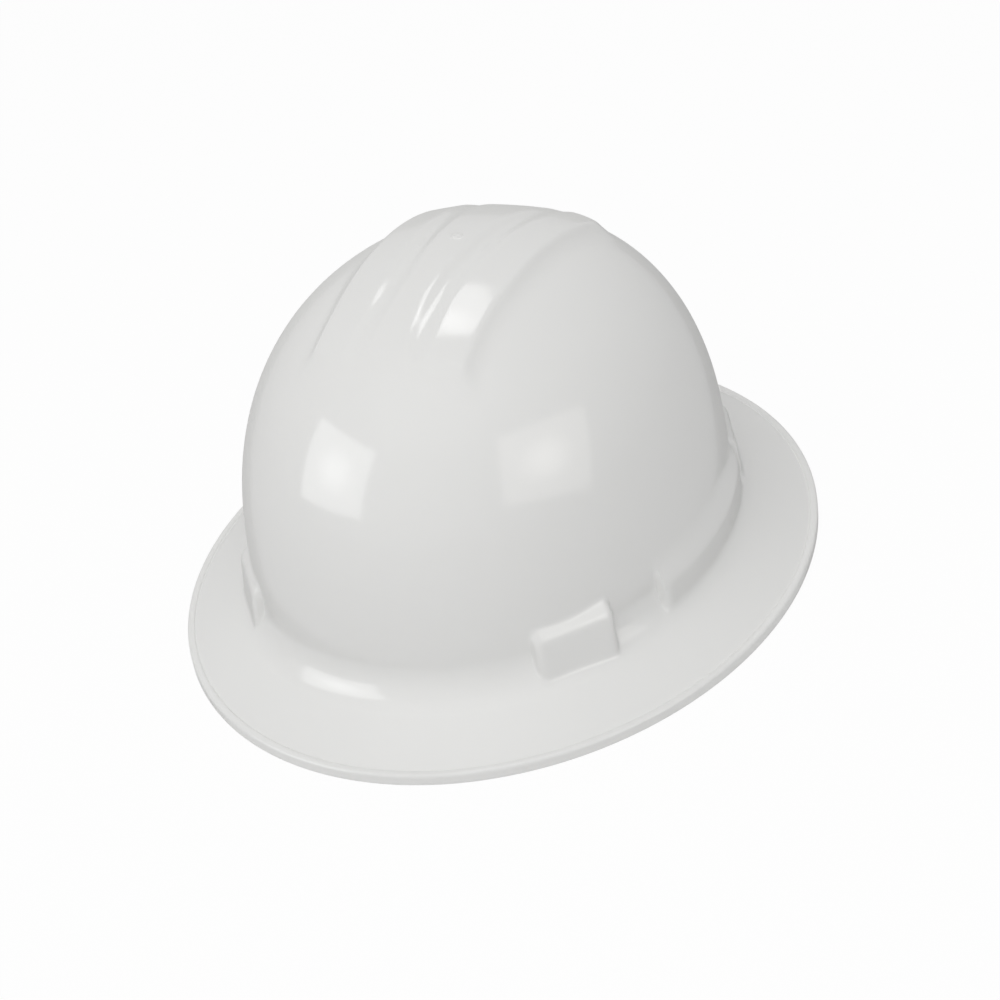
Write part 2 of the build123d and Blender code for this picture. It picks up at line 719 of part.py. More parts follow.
for name, inner, side in (("left_tail", first_layer, 1), ("right_tail", first_layer + layer_pitch, -1)):
    outer = inner + tail_thickness
    first_angle = tail_front_angle if side > 0 else 180 - tail_rear_angle
    last_angle = tail_rear_angle if side > 0 else 180 - tail_front_angle
    strap_solid = nape_sector(inner, outer, first_angle, last_angle, tail_bottom, tail_top)
    slot_low = tail_middle_height - (gear_tip + rack_clear if side > 0 else rack_tip_line)
    slot_high = tail_middle_height + (rack_tip_line if side > 0 else gear_tip + rack_clear)
    slot_solid = nape_sector(inner - overrun, outer + overrun, 90 - rack_half_angle,
                             90 + rack_half_angle, slot_low, slot_high)
    pitch_angle = degrees(tooth_pitch / (inner + tail_thickness / 2))
    tip_gap = tooth_pitch * (1 - tooth_tip_share) / 2
    root_gap = tip_gap - tooth_pitch * tooth_flare_share * (rack_root_line - rack_tip_line) / 2
    with BuildPart() as tail:
        add(strap_solid)
        end_edges = [edge for edge in tail.edges().filter_by(GeomType.LINE)
                     if abs((edge @ 0).Z - (edge @ 1).Z) < seat_play]
        fillet(end_edges, radius=tail_tip_round)
        add(slot_solid, mode=Mode.SUBTRACT)
        # Gaps between the rack's teeth
        for step in range(rack_gap_count):
            angle = 90 + (step - (rack_gap_count - 1) / 2) * pitch_angle
            with BuildSketch(face_plane(0, nape_y, angle, inner - seat_play, tail_middle_height)):
                with BuildLine():
                    Polyline((-tip_gap, side * (rack_tip_line - gear_module)),
                             (tip_gap, side * (rack_tip_line - gear_module)),
                             (tip_gap, side * rack_tip_line), (root_gap, side * rack_root_line),
                             (-root_gap, side * rack_root_line), (-tip_gap, side * rack_tip_line),
                             close=True)
                make_face()
            extrude(amount=tail_thickness + 2 * seat_play, mode=Mode.SUBTRACT)
    tail.part.label = name
    export_step(tail.part, f"parts/{name}.step")

# Ratchet housing: plate against the head, cover with rails and a click tower
housing_start = 90 - housing_half_angle
housing_end = 90 + housing_half_angle
housing_bottom = channel_bottom - housing_rail
housing_top = housing_bottom + housing_height
screw_rise = (channel_height + housing_rail) / 2
screw_places = [(90 + turn * housing_screw_angle, tail_middle_height + rise * screw_rise)
                for turn in (1, -1) for rise in (1, -1)]
plate_solid = nape_sector(plate_inner, band_outer, housing_start, housing_end, housing_bottom, housing_top)
cover_solid = nape_sector(band_outer + seat_play, housing_outer, housing_start, housing_end,
                          housing_bottom, housing_top)
channel_solid = nape_sector(band_outer, channel_outer, housing_start - housing_half_angle,
                            housing_end + housing_half_angle, channel_bottom,
                            channel_bottom + channel_height)

with BuildPart() as ratchet_plate:
    add(plate_solid)
    with BuildSketch(knob_plane(nape_y + plate_inner - overrun)):
        Circle(journal_radius + bore_play)
    extrude(amount=housing_plate + 2 * overrun, mode=Mode.SUBTRACT)
    for angle, height in screw_places:
        hole_end = band_outer - housing_screw_grip - gear_side_play
        with BuildSketch(face_plane(0, nape_y, angle, hole_end, height)):
            Circle(housing_screw_radius + seat_play)
        extrude(amount=overrun, mode=Mode.SUBTRACT)
ratchet_plate.part.label = "ratchet_plate"
export_step(ratchet_plate.part, "parts/ratchet_plate.step")

cavity_floor_y = tower_y - click_cavity_depth
with BuildPart() as ratchet_cover:
    add(cover_solid)
    add(channel_solid, mode=Mode.SUBTRACT)
    with BuildSketch(knob_plane(nape_y + channel_outer + running_gap)):
        Circle(tower_radius)
    extrude(amount=tower_y - nape_y - channel_outer - running_gap)
    # Click ring: a cavity with a toothed wall
    with BuildSketch(knob_plane(cavity_floor_y)):
        with BuildLine():
            Polyline([((click_cavity_radius - step % 2 * click_tooth_depth) * cos(pi * step / click_tooth_count),
                       (click_cavity_radius - step % 2 * click_tooth_depth) * sin(pi * step / click_tooth_count))
                      for step in range(2 * click_tooth_count)], close=True)
        make_face()
    extrude(amount=click_cavity_depth, mode=Mode.SUBTRACT)
    with BuildSketch(knob_plane(nape_y + band_outer)):
        Circle(shaft_radius + bore_play)
    extrude(amount=cavity_floor_y - nape_y - band_outer, mode=Mode.SUBTRACT)
    for angle, height in screw_places:
        with BuildSketch(face_plane(0, nape_y, angle, band_outer, height)):
            Circle(housing_screw_radius + seat_play)
        extrude(amount=housing_outer - band_outer + overrun, mode=Mode.SUBTRACT)
ratchet_cover.part.label = "ratchet_cover"
export_step(ratchet_cover.part, "parts/ratchet_cover.step")

with BuildPart() as housing_screws:
    for angle, height in screw_places:
        with BuildSketch(face_plane(0, nape_y, angle, band_outer - housing_screw_grip, height)):
            Circle(housing_screw_radius)
        extrude(amount=housing_outer + seat_play - band_outer + housing_screw_grip)
        with BuildSketch(face_plane(0, nape_y, angle, housing_outer + seat_play, height)):
            Circle(housing_screw_head_radius)
        extrude(amount=housing_screw_head_height)
housing_screws.part.label = "housing_screws"
export_step(housing_screws.part, "parts/housing_screws.step")

# Pinion: front journal, gear, shaft and square end with a screw hole
gear_start_y = plate_y + gear_side_play
gear_end_y = nape_y + sqrt(channel_outer ** 2 - gear_tip ** 2) - running_gap
shaft_end_y = cavity_floor_y + gear_side_play
recess_y = knob_end_y - knob_recess_depth
socket_end_y = recess_y - knob_web
square_end_y = socket_end_y - running_gap
screw_end_y = square_end_y - knob_screw_reach
tooth_root_half = tooth_pitch * (tooth_tip_share + tooth_flare_share * (gear_tip - gear_root)) / 2
tooth_tip_half = tooth_pitch * tooth_tip_share / 2
gear_points = []
for step in range(gear_teeth):
    turn = 2 * pi * step / gear_teeth
    for out, across in ((gear_root, -tooth_root_half), (gear_tip, -tooth_tip_half),
                        (gear_tip, tooth_tip_half), (gear_root, tooth_root_half)):
        gear_points.append((across * cos(turn) + out * sin(turn), out * cos(turn) - across * sin(turn)))

with BuildPart() as pinion:
    with BuildSketch(knob_plane(nape_y + plate_inner + gear_side_play)):
        Circle(journal_radius)
    extrude(amount=gear_start_y - nape_y - plate_inner - gear_side_play)
    with BuildSketch(knob_plane(gear_start_y)):
        with BuildLine():
            Polyline(gear_points, close=True)
        make_face()
    extrude(amount=gear_end_y - gear_start_y)
    with BuildSketch(knob_plane(gear_end_y)):
        Circle(shaft_radius)
    extrude(amount=shaft_end_y - gear_end_y)
    with BuildSketch(knob_plane(shaft_end_y)):
        Rectangle(square_side, square_side)
    extrude(amount=square_end_y - shaft_end_y)
    with BuildSketch(knob_plane(screw_end_y - running_gap)):
        Circle(knob_screw_radius + seat_play)
    extrude(amount=square_end_y - screw_end_y + running_gap, mode=Mode.SUBTRACT)
pinion.part.label = "pinion"
export_step(pinion.part, "parts/pinion.step")

# Click spring: two bowed arms on a hub, turned by the square
spring_y = shaft_end_y + seat_play
spring_tip_radius = click_cavity_radius - click_tooth_depth - click_play - spring_arm_width / 2
spring_arms = []
for start in (0, 180):
    places = [(out * cos(radians(start + angle)), out * sin(radians(start + angle)))
              for out, angle in ((spring_foot_radius, 0), (spring_bow_radius, spring_bow_angle),
                                 (spring_tip_radius, spring_tip_angle))]
    spring_arms.append(ThreePointArc(*places))

with BuildPart() as detent_spring:
    with BuildSketch(knob_plane(spring_y)):
        Circle(spring_hub_radius)
        for arm in spring_arms:
            SlotArc(arm, spring_arm_width)
        Rectangle(square_side + 2 * seat_play, square_side + 2 * seat_play, mode=Mode.SUBTRACT)
    extrude(amount=spring_thickness)
detent_spring.part.label = "detent_spring"
export_step(detent_spring.part, "parts/detent_spring.step")

# Knob: core between two flanges, hub down to the spring, square socket and screw recess
hub_y = spring_y + spring_thickness + running_gap
with BuildPart() as ratchet_knob:
    with BuildSketch(knob_plane(knob_y)):
        Circle(knob_core_radius)
    extrude(amount=knob_depth)
    for start_y in (knob_y, knob_end_y - knob_flange):
        with BuildSketch(knob_plane(start_y)):
            Circle(knob_radius - grip_lip)
        extrude(amount=knob_flange)
    fillet(ratchet_knob.edges().filter_by(GeomType.CIRCLE).group_by(Axis.Y)[-1], radius=knob_round)
    with BuildSketch(knob_plane(hub_y)):
        Circle(knob_hub_radius)
    extrude(amount=knob_y - hub_y)
    with BuildSketch(knob_plane(hub_y)):
        Rectangle(square_side + 2 * seat_play, square_side + 2 * seat_play)
    extrude(amount=socket_end_y - hub_y, mode=Mode.SUBTRACT)
    with BuildSketch(knob_plane(socket_end_y)):
        Circle(knob_screw_radius + seat_play)
    extrude(amount=knob_web, mode=Mode.SUBTRACT)
    with BuildSketch(knob_plane(recess_y)):
        Circle(knob_recess_radius)
    extrude(amount=knob_recess_depth, mode=Mode.SUBTRACT)
    with BuildSketch(knob_plane(knob_end_y - finger_dent_depth)):
        with PolarLocations(finger_dent_ring, finger_dent_count):
            Circle(finger_dent_radius)
    extrude(amount=finger_dent_depth, mode=Mode.SUBTRACT)
ratchet_knob.part.label = "ratchet_knob"
export_step(ratchet_knob.part, "parts/ratchet_knob.step")

with BuildPart() as knob_grip:
    with BuildSketch(knob_plane(knob_y + knob_flange + seat_play)):
        Circle(knob_radius)
        with PolarLocations(knob_radius - grip_rib_radius + grip_lip, grip_rib_count):
            Circle(grip_rib_radius)
        Circle(knob_core_radius + seat_play, mode=Mode.SUBTRACT)
    extrude(amount=knob_depth - 2 * knob_flange - 2 * seat_play)
knob_grip.part.label = "knob_grip"
export_step(knob_grip.part, "parts/knob_grip.step")

with BuildPart() as knob_screw:
    with BuildSketch(knob_plane(screw_end_y)):
        Circle(knob_screw_radius)
    extrude(amount=recess_y + seat_play - screw_end_y)
    with BuildSketch(knob_plane(recess_y + seat_play)):
        Circle(knob_screw_head_radius)
    extrude(amount=knob_screw_head_height)
knob_screw.part.label = "knob_screw"
export_step(knob_screw.part, "parts/knob_screw.step")
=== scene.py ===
"""Full brim hard hat, dressed for its studio picture.

The moulded shell, its webbing and its pads are made here as smooth surfaces over the
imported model; the keys, the headband and the ratchet keep their own solids and get their
finishes here. Shapes are given in millimetres and angles in degrees, and make_mesh puts them
into the model's own frame in metres. Lights, camera and finishes are in metres.
"""
import logging
import math
from dataclasses import dataclass, field
from enum import Enum

import bmesh
import bpy
import numpy as np
from mathutils import Matrix, Vector


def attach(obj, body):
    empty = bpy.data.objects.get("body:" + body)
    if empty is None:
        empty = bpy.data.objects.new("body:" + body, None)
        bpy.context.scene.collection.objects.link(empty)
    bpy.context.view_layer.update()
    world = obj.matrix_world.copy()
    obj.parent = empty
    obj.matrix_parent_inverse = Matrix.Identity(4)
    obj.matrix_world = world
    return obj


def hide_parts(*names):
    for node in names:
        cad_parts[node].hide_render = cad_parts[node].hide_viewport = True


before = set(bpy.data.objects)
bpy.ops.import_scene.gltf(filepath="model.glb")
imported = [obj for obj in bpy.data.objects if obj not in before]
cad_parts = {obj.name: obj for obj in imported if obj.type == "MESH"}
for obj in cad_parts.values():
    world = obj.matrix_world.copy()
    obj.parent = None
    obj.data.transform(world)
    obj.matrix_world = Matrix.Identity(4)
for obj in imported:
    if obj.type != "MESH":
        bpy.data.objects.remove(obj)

log = logging.getLogger("hard_hat")
MM = 0.001
Vec = tuple[float, float, float]
Pair = tuple[float, float]
Arrays = tuple[np.ndarray, np.ndarray]
Socket = bpy.types.NodeSocket


# Small geometry helpers
def smooth_max(a: np.ndarray, b: np.ndarray, blend: float) -> np.ndarray:
    """Larger of two fields, rounded where they are within blend of each other.

    Formula: the larger plus (blend - |a - b|) squared over four blends, where positive.
    """
    near = np.maximum(blend - np.abs(a - b), 0.0)
    return np.maximum(a, b) + near * near / (4.0 * blend)


def smooth_min(a: np.ndarray, b: np.ndarray, blend: float) -> np.ndarray:
    """Smaller of two fields, filleted where they are within blend of each other."""
    return -smooth_max(-a, -b, blend)


def smooth_step(x: np.ndarray, low: float, high: float) -> np.ndarray:
    """Nought below low, one above high, and three t squared less two t cubed between."""
    t = np.clip((x - low) / (high - low), 0.0, 1.0)
    return t * t * (3.0 - 2.0 * t)


def graded(breaks: list[float], steps: list[float]) -> np.ndarray:
    """Points from the first break to the last, evenly spaced by about each stretch's step.

    Args:
        breaks: ends of the stretches, in order.
        steps: wanted spacing in each stretch, one fewer than the breaks.

    Returns:
        The points, each break once.
    """
    runs = [np.linspace(a, b, max(1, math.ceil((b - a) / s)) + 1)[:-1]
            for a, b, s in zip(breaks[:-1], breaks[1:], steps)]
    return np.append(np.concatenate(runs), breaks[-1])


def grid_faces(rows: int, columns: int, wrap: bool, first: int = 0) -> np.ndarray:
    """Four-sided faces of a grid whose points are numbered row by row.

    Args:
        rows: number of rows of points.
        columns: number of points in a row.
        wrap: whether the last column joins the first.
        first: number of the grid's first point.

    Returns:
        Array of faces, four point numbers each.
    """
    r, c = np.meshgrid(np.arange(rows - 1), np.arange(columns if wrap else columns - 1), indexing="ij")
    right = (c + 1) % columns
    here, below = r * columns, (r + 1) * columns
    faces = np.stack([here + c, here + right, below + right, below + c], -1)
    return faces.reshape(-1, 4) + first


def make_mesh(name: str, points: np.ndarray, faces: list, smooth: bool = True,
              uv: np.ndarray | None = None) -> bpy.types.Object:
    """Put points in millimetres and faces into a new object at the origin.

    Args:
        name: object's name.
        points: array of points, in millimetres.
        faces: lists or arrays of point numbers.
        smooth: whether the faces are shaded smooth.
        uv: one pair of surface coordinates a point, or None.

    Returns:
        The object, linked to the scene.
    """
    mesh = bpy.data.meshes.new(name)
    rows = [face.tolist() if hasattr(face, "tolist") else list(face) for face in faces]
    mesh.from_pydata((points * MM).tolist(), [], rows)
    mesh.validate(verbose=False)
    if uv is not None:
        layer = mesh.uv_layers.new(name="UVMap")
        corner = np.empty(len(mesh.loops), dtype=np.int32)
        mesh.loops.foreach_get("vertex_index", corner)
        layer.data.foreach_set("uv", uv[corner].astype(np.float32).ravel())
    mesh.polygons.foreach_set("use_smooth", np.full(len(mesh.polygons), smooth))
    mesh.update()
    obj = bpy.data.objects.new(name, mesh)
    bpy.context.scene.collection.objects.link(obj)
    return obj


def apply_modifier(obj: bpy.types.Object, kind: str, **settings: object) -> None:
    """Add a modifier to an object, set it and apply it to the mesh.

    Args:
        obj: object to change.
        kind: Blender's name of the modifier's kind.
        settings: values of the modifier's own settings.
    """
    modifier = obj.modifiers.new(kind.lower(), kind)
    for key, value in settings.items():
        setattr(modifier, key, value)
    bpy.context.view_layer.objects.active = obj
    with bpy.context.temp_override(object=obj, active_object=obj, selected_objects=[obj]):
        bpy.ops.object.modifier_apply(modifier=modifier.name)


def unit(vectors: np.ndarray) -> np.ndarray:
    """Vectors of the same directions, each of length one."""
    return vectors / np.linalg.norm(vectors, axis=-1, keepdims=True)


def run_length(line: np.ndarray) -> np.ndarray:
    """Way along a line to each of its points: the sum of the steps before it."""
    return np.concatenate([[0.0], np.cumsum(np.linalg.norm(np.diff(line, axis=0), axis=1))])


def round_angles(count: int) -> np.ndarray:
    """Evenly spaced angles of one full turn, its end left out."""
    return np.linspace(0.0, 2.0 * math.pi, count + 1)[:-1]


def block(x: float, y: float, turn: float, out: Pair, across: Pair, up: Pair) -> Arrays:
    """Eight corners and six faces of a box that stands at a place and is turned about the upright.

    Each corner is the place plus its way out along the turn, its way across and its height.

    Args:
        x: place of the box's own origin.
        y: the same, along Y.
        turn: turn from +X, in degrees.
        out: lowest and highest way out along the turn.
        across: lowest and highest way across.
        up: lowest and highest height.

    Returns:
        Corners in millimetres, and faces that point outwards.
    """
    u, w, z = (c.ravel() for c in np.meshgrid(out, across, up, indexing="ij"))
    a = math.radians(turn)
    points = np.stack([x + u * math.cos(a) - w * math.sin(a), y + u * math.sin(a) + w * math.cos(a), z], -1)
    faces = np.array([[0, 1, 3, 2], [4, 6, 7, 5], [0, 4, 5, 1], [2, 3, 7, 6], [0, 2, 6, 4], [1, 5, 7, 3]])
    return points, faces


def joined(parts: list[Arrays]) -> Arrays:
    """Several sets of points and faces as one, the faces' numbers moved on."""
    starts = np.cumsum([0] + [len(points) for points, _ in parts[:-1]])
    return (np.concatenate([points for points, _ in parts]),
            np.concatenate([faces + start for (_, faces), start in zip(parts, starts)]))


def recess(obj: bpy.types.Object, parts: list[Arrays], operation: str) -> None:
    """Join blocks to a closed mesh, or cut them out of it.

    Args:
        obj: closed mesh to change.
        parts: the blocks' points and faces.
        operation: UNION or DIFFERENCE.
    """
    points, faces = joined(parts)
    tool = make_mesh("socket_tool", points, list(faces), smooth=False)
    apply_modifier(obj, "BOOLEAN", operation=operation, solver="MANIFOLD", object=tool)
    mesh = tool.data
    bpy.data.objects.remove(tool)
    bpy.data.meshes.remove(mesh)
    obj.data.materials.clear()
    obj.data.polygons.foreach_set("material_index", np.zeros(len(obj.data.polygons), dtype=np.int32))


def turn_out(obj: bpy.types.Object) -> None:
    """Make all faces of a closed mesh point outwards."""
    shape = bmesh.new()
    shape.from_mesh(obj.data)
    bmesh.ops.recalc_face_normals(shape, faces=shape.faces)
    if shape.calc_volume(signed=True) < 0.0:
        bmesh.ops.reverse_faces(shape, faces=shape.faces)
    shape.to_mesh(obj.data)
    shape.free()


# Finishes
def shade(color: Vec, share: float) -> Vec:
    """The colour times a share, each part at most one."""
    return tuple(min(c * share, 1.0) for c in color)


class Nodes:
    """Node tree of a material, a world or a light, with a short method for each kind of node."""

    def __init__(self, owner: bpy.types.ID, output: str = "") -> None:
        """Take the owner's own tree, or clear it down to an output of the kind that is given."""
        owner.use_nodes = True
        self.owner = owner
        self.tree = owner.node_tree
        if output:
            self.tree.nodes.clear()
            self.output = self.add(output)

    def add(self, kind: str, **settings: object) -> bpy.types.Node:
        """Add a node of a kind and set its own settings."""
        node = self.tree.nodes.new(kind)
        for key, value in settings.items():
            setattr(node, key, value)
        return node

    def link(self, a: Socket, b: Socket) -> None:
        """Join one socket to another."""
        self.tree.links.new(a, b)

    def feed(self, node: bpy.types.Node, **values: Socket | Vec | float) -> None:
        """Link a node's inputs, or set their colours and numbers, spaces written as underscores."""
        for name, value in values.items():
            socket = node.inputs[name.replace("_", " ")]
            if isinstance(value, Socket):
                self.link(value, socket)
            else:
                socket.default_value = (*value, 1.0) if isinstance(value, tuple) else value

    def place(self, scale: Vec = (1.0, 1.0, 1.0), uv: bool = False) -> Socket:
        """Coordinates of the object itself, or of its UV map, stretched by a scale."""
        coordinate = self.add("ShaderNodeTexCoord")
        mapping = self.add("ShaderNodeMapping")
        mapping.inputs["Scale"].default_value = scale
        self.link(coordinate.outputs["UV" if uv else "Object"], mapping.inputs["Vector"])
        return mapping.outputs["Vector"]

    def noise(self, place: Socket, scale: float, detail: float = 3.0, rough: float = 0.55) -> Socket:
        """Noise of a scale, from nought to one."""
        node = self.add("ShaderNodeTexNoise")
        self.feed(node, Vector=place, Scale=scale, Detail=detail, Roughness=rough)
        return node.outputs["Fac"]

    def math(self, operation: str, *values: Socket | float) -> Socket:
        """One sum on sockets or numbers."""
        node = self.add("ShaderNodeMath", operation=operation)
        for socket, value in zip(node.inputs, values):
            if isinstance(value, Socket):
                self.link(value, socket)
            else:
                socket.default_value = value
        return node.outputs[0]

    def ramp(self, value: Socket, low: float, high: float, dark: Vec, light: Vec) -> Socket:
        """Colour that runs from dark to light as the value runs from low to high."""
        node = self.add("ShaderNodeValToRGB")
        for stop, position, color in zip(node.color_ramp.elements, (low, high), (dark, light)):
            stop.position = position
            stop.color = (*color, 1.0)
        self.feed(node, Fac=value)
        return node.outputs["Color"]

    def spread(self, value: Socket, low: float, high: float, start: float = 0.0, stop: float = 1.0,
               kind: str = "LINEAR") -> Socket:
        """The value's run from start to stop, moved to run from low to high."""
        node = self.add("ShaderNodeMapRange", interpolation_type=kind)
        self.feed(node, Value=value, From_Min=start, From_Max=stop, To_Min=low, To_Max=high)
        return node.outputs["Result"]

    def bump(self, height: Socket, depth: float, strength: float, under: Socket | None = None) -> Socket:
        """Normal for a height of nought to one that stands for depth in metres."""
        node = self.add("ShaderNodeBump")
        self.feed(node, Height=height, Distance=depth, Strength=strength)
        if under is not None:
            self.feed(node, Normal=under)
        return node.outputs["Normal"]

    def seen(self) -> Socket:
        """One for rays from the camera, in reflections and through clear pieces, else nought."""
        path = self.add("ShaderNodeLightPath")
        total = self.math("ADD", path.outputs["Is Camera Ray"], path.outputs["Is Glossy Ray"])
        total = self.math("ADD", total, path.outputs["Is Transmission Ray"])
        return self.math("MINIMUM", total, 1.0)

    def shader(self, color: Socket, rough: Socket | float, normal: Socket,
               **values: Socket | float) -> bpy.types.Material:
        """Finish the material with the main shader.

        Args:
            color: base colour.
            rough: roughness, linked or plain.
            normal: normal from a bump.
            values: further sockets' values, with spaces written as underscores.

        Returns:
            The material.
        """
        main = self.add("ShaderNodeBsdfPrincipled")
        self.feed(main, Base_Color=color, Roughness=rough, Normal=normal, **values)
        self.link(main.outputs["BSDF"], self.output.inputs["Surface"])
        return self.owner


def material_nodes(name: str) -> Nodes:
    """Node tree of a new material."""
    return Nodes(bpy.data.materials.new(name), "ShaderNodeOutputMaterial")


@dataclass(frozen=True)
class GlossShell:
    """Glossy moulded polyethylene: even white, with the faint waviness of a moulded wall.

    The mirror is full where the wall faces the eye and gone where it turns away, so the white
    surroundings don't wash out its outline.
    """

    color: Vec = (0.80, 0.80, 0.79)
    cloud_scale: float = 9.0
    cloud_shade: float = 0.985
    rough: Pair = (0.085, 0.125)
    wave_scale: float = 26.0
    wave_depth: float = 0.00010
    grain_scale: float = 900.0
    grain_depth: float = 0.000012
    mirror: float = 0.62
    mirror_fade: Pair = (0.40, 0.78)

    def make(self) -> bpy.types.Material:
        """Build the material."""
        n = material_nodes("gloss_shell")
        place = n.place()
        cloud = n.noise(place, self.cloud_scale, 2.0)
        color = n.ramp(cloud, 0.3, 0.7, shade(self.color, self.cloud_shade), self.color)
        fine = n.noise(place, self.grain_scale, 2.0)
        wave = n.bump(n.noise(place, self.wave_scale, 1.0), self.wave_depth, 0.35)
        grain = n.bump(fine, self.grain_depth, 0.25, wave)
        facing = n.add("ShaderNodeLayerWeight")
        n.feed(facing, Blend=0.5)
        level = n.spread(facing.outputs["Facing"], self.mirror, 0.0, *self.mirror_fade, "SMOOTHSTEP")
        return n.shader(color, n.spread(fine, *self.rough), grain, IOR=1.58, Specular_IOR_Level=level)


@dataclass(frozen=True)
class Moulded:
    """Satin moulded plastic with a fine spark grain and slightly polished high spots."""

    name: str
    color: Vec
    rough: float = 0.42
    grain: float = 0.00003
    grain_scale: float = 1600.0
    broad_scale: float = 60.0

    def make(self) -> bpy.types.Material:
        """Build the material."""
        n = material_nodes(self.name)
        place = n.place()
        fine = n.noise(place, self.grain_scale, 3.0, 0.6)
        broad = n.noise(place, self.broad_scale)
        color = n.ramp(broad, 0.3, 0.75, shade(self.color, 0.9), self.color)
        rough = n.spread(broad, self.rough - 0.06, self.rough + 0.08)
        return n.shader(color, rough, n.bump(fine, self.grain, 0.5), IOR=1.49)


@dataclass(frozen=True)
class Webbing:
    """Flat woven webbing: rows of weft ribs crossed by warp yarns, on the strap's own map in metres."""

    name: str
    color: Vec
    pick: float = 0.0011
    yarn: float = 0.0014
    depth: float = 0.00028
    fuzz_scale: float = 1500.0

    def make(self) -> bpy.types.Material:
        """Build the material.

        The height is |sin| of the way along, moved on by a quarter turn from yarn to yarn,
        times the root of |sin| of the way across, with a little fuzz over it.
        """
        n = material_nodes(self.name)
        split = n.add("ShaderNodeSeparateXYZ")
        n.feed(split, Vector=n.place(uv=True))
        across, along = split.outputs["X"], split.outputs["Y"]
        row = n.math("MULTIPLY", along, math.pi / self.pick)
        shift = n.math("MULTIPLY", n.math("FLOOR", n.math("DIVIDE", across, self.yarn)), math.pi / 2.0)
        ribs = n.math("ABSOLUTE", n.math("SINE", n.math("ADD", row, shift)))
        yarns = n.math("ABSOLUTE", n.math("SINE", n.math("MULTIPLY", across, math.pi / self.yarn)))
        weave = n.math("MULTIPLY", ribs, n.math("POWER", yarns, 0.5))
        fuzz = n.math("MULTIPLY", n.noise(n.place(), self.fuzz_scale, 4.0, 0.7), 0.25)
        height = n.math("ADD", weave, fuzz)
        # Painted shade: the colour falls to less than half in the weave's hollows, where the height is low,
        # and stays full on the ribs.
        color = n.ramp(height, 0.1, 1.0, shade(self.color, 0.45), self.color)
        normal = n.bump(height, self.depth, 0.9)
        return n.shader(color, 0.78, normal, IOR=1.45, Sheen_Weight=0.35, Sheen_Roughness=0.5)


@dataclass(frozen=True)
class Terry:
    """Brushed towelling over foam: close loops, soft patches of wear, and painted shade between the loops."""

    name: str
    color: Vec
    loop_scale: float = 900.0
    loop_depth: float = 0.0005
    wear_scale: float = 70.0

    def make(self) -> bpy.types.Material:
        """Build the material."""
        n = material_nodes(self.name)
        place = n.place()
        loops = n.add("ShaderNodeTexVoronoi", feature="F1")
        n.feed(loops, Vector=place, Scale=self.loop_scale)
        loop = loops.outputs["Distance"]
        wear = n.math("MULTIPLY", n.noise(place, self.wear_scale, 4.0), 0.5)
        # The wear patches are the cloth's own tone; the loops' share is painted shade, darker in their
        # hollows and lighter on their tops.
        wear_and_loop_shade = n.math("ADD", wear, n.math("MULTIPLY", loop, 0.6))
        color = n.ramp(wear_and_loop_shade, 0.2, 0.85, shade(self.color, 0.6), shade(self.color, 1.5))
        normal = n.bump(loop, self.loop_depth, 0.8)
        return n.shader(color, 0.92, normal, IOR=1.4, Sheen_Weight=0.6, Sheen_Roughness=0.6)


@dataclass(frozen=True)
class Steel:
    """Turned or pressed steel with fine circular brushing."""

    name: str = "bright_steel"
    color: Vec = (0.62, 0.62, 0.63)
    stretch: Vec = (1.0, 40.0, 1.0)
    line_scale: float = 400.0
    line_depth: float = 0.00001

    def make(self) -> bpy.types.Material:
        """Build the material."""
        n = material_nodes(self.name)
        lines = n.noise(n.place(self.stretch), self.line_scale, 4.0)
        color = n.ramp(lines, 0.3, 0.7, shade(self.color, 0.85), self.color)
        normal = n.bump(lines, self.line_depth, 0.3)
        return n.shader(color, n.spread(lines, 0.22, 0.38), normal, Metallic=1.0)


# Shell
class Surface(Enum):
    """The two sides of the shell's wall."""

    OUTSIDE = 0
    INSIDE = 1


@dataclass(frozen=True)
class KeyBoss:
    """Place of one key boss, by the fold line of its outer face."""

    x: float
    y: float
    turn: float


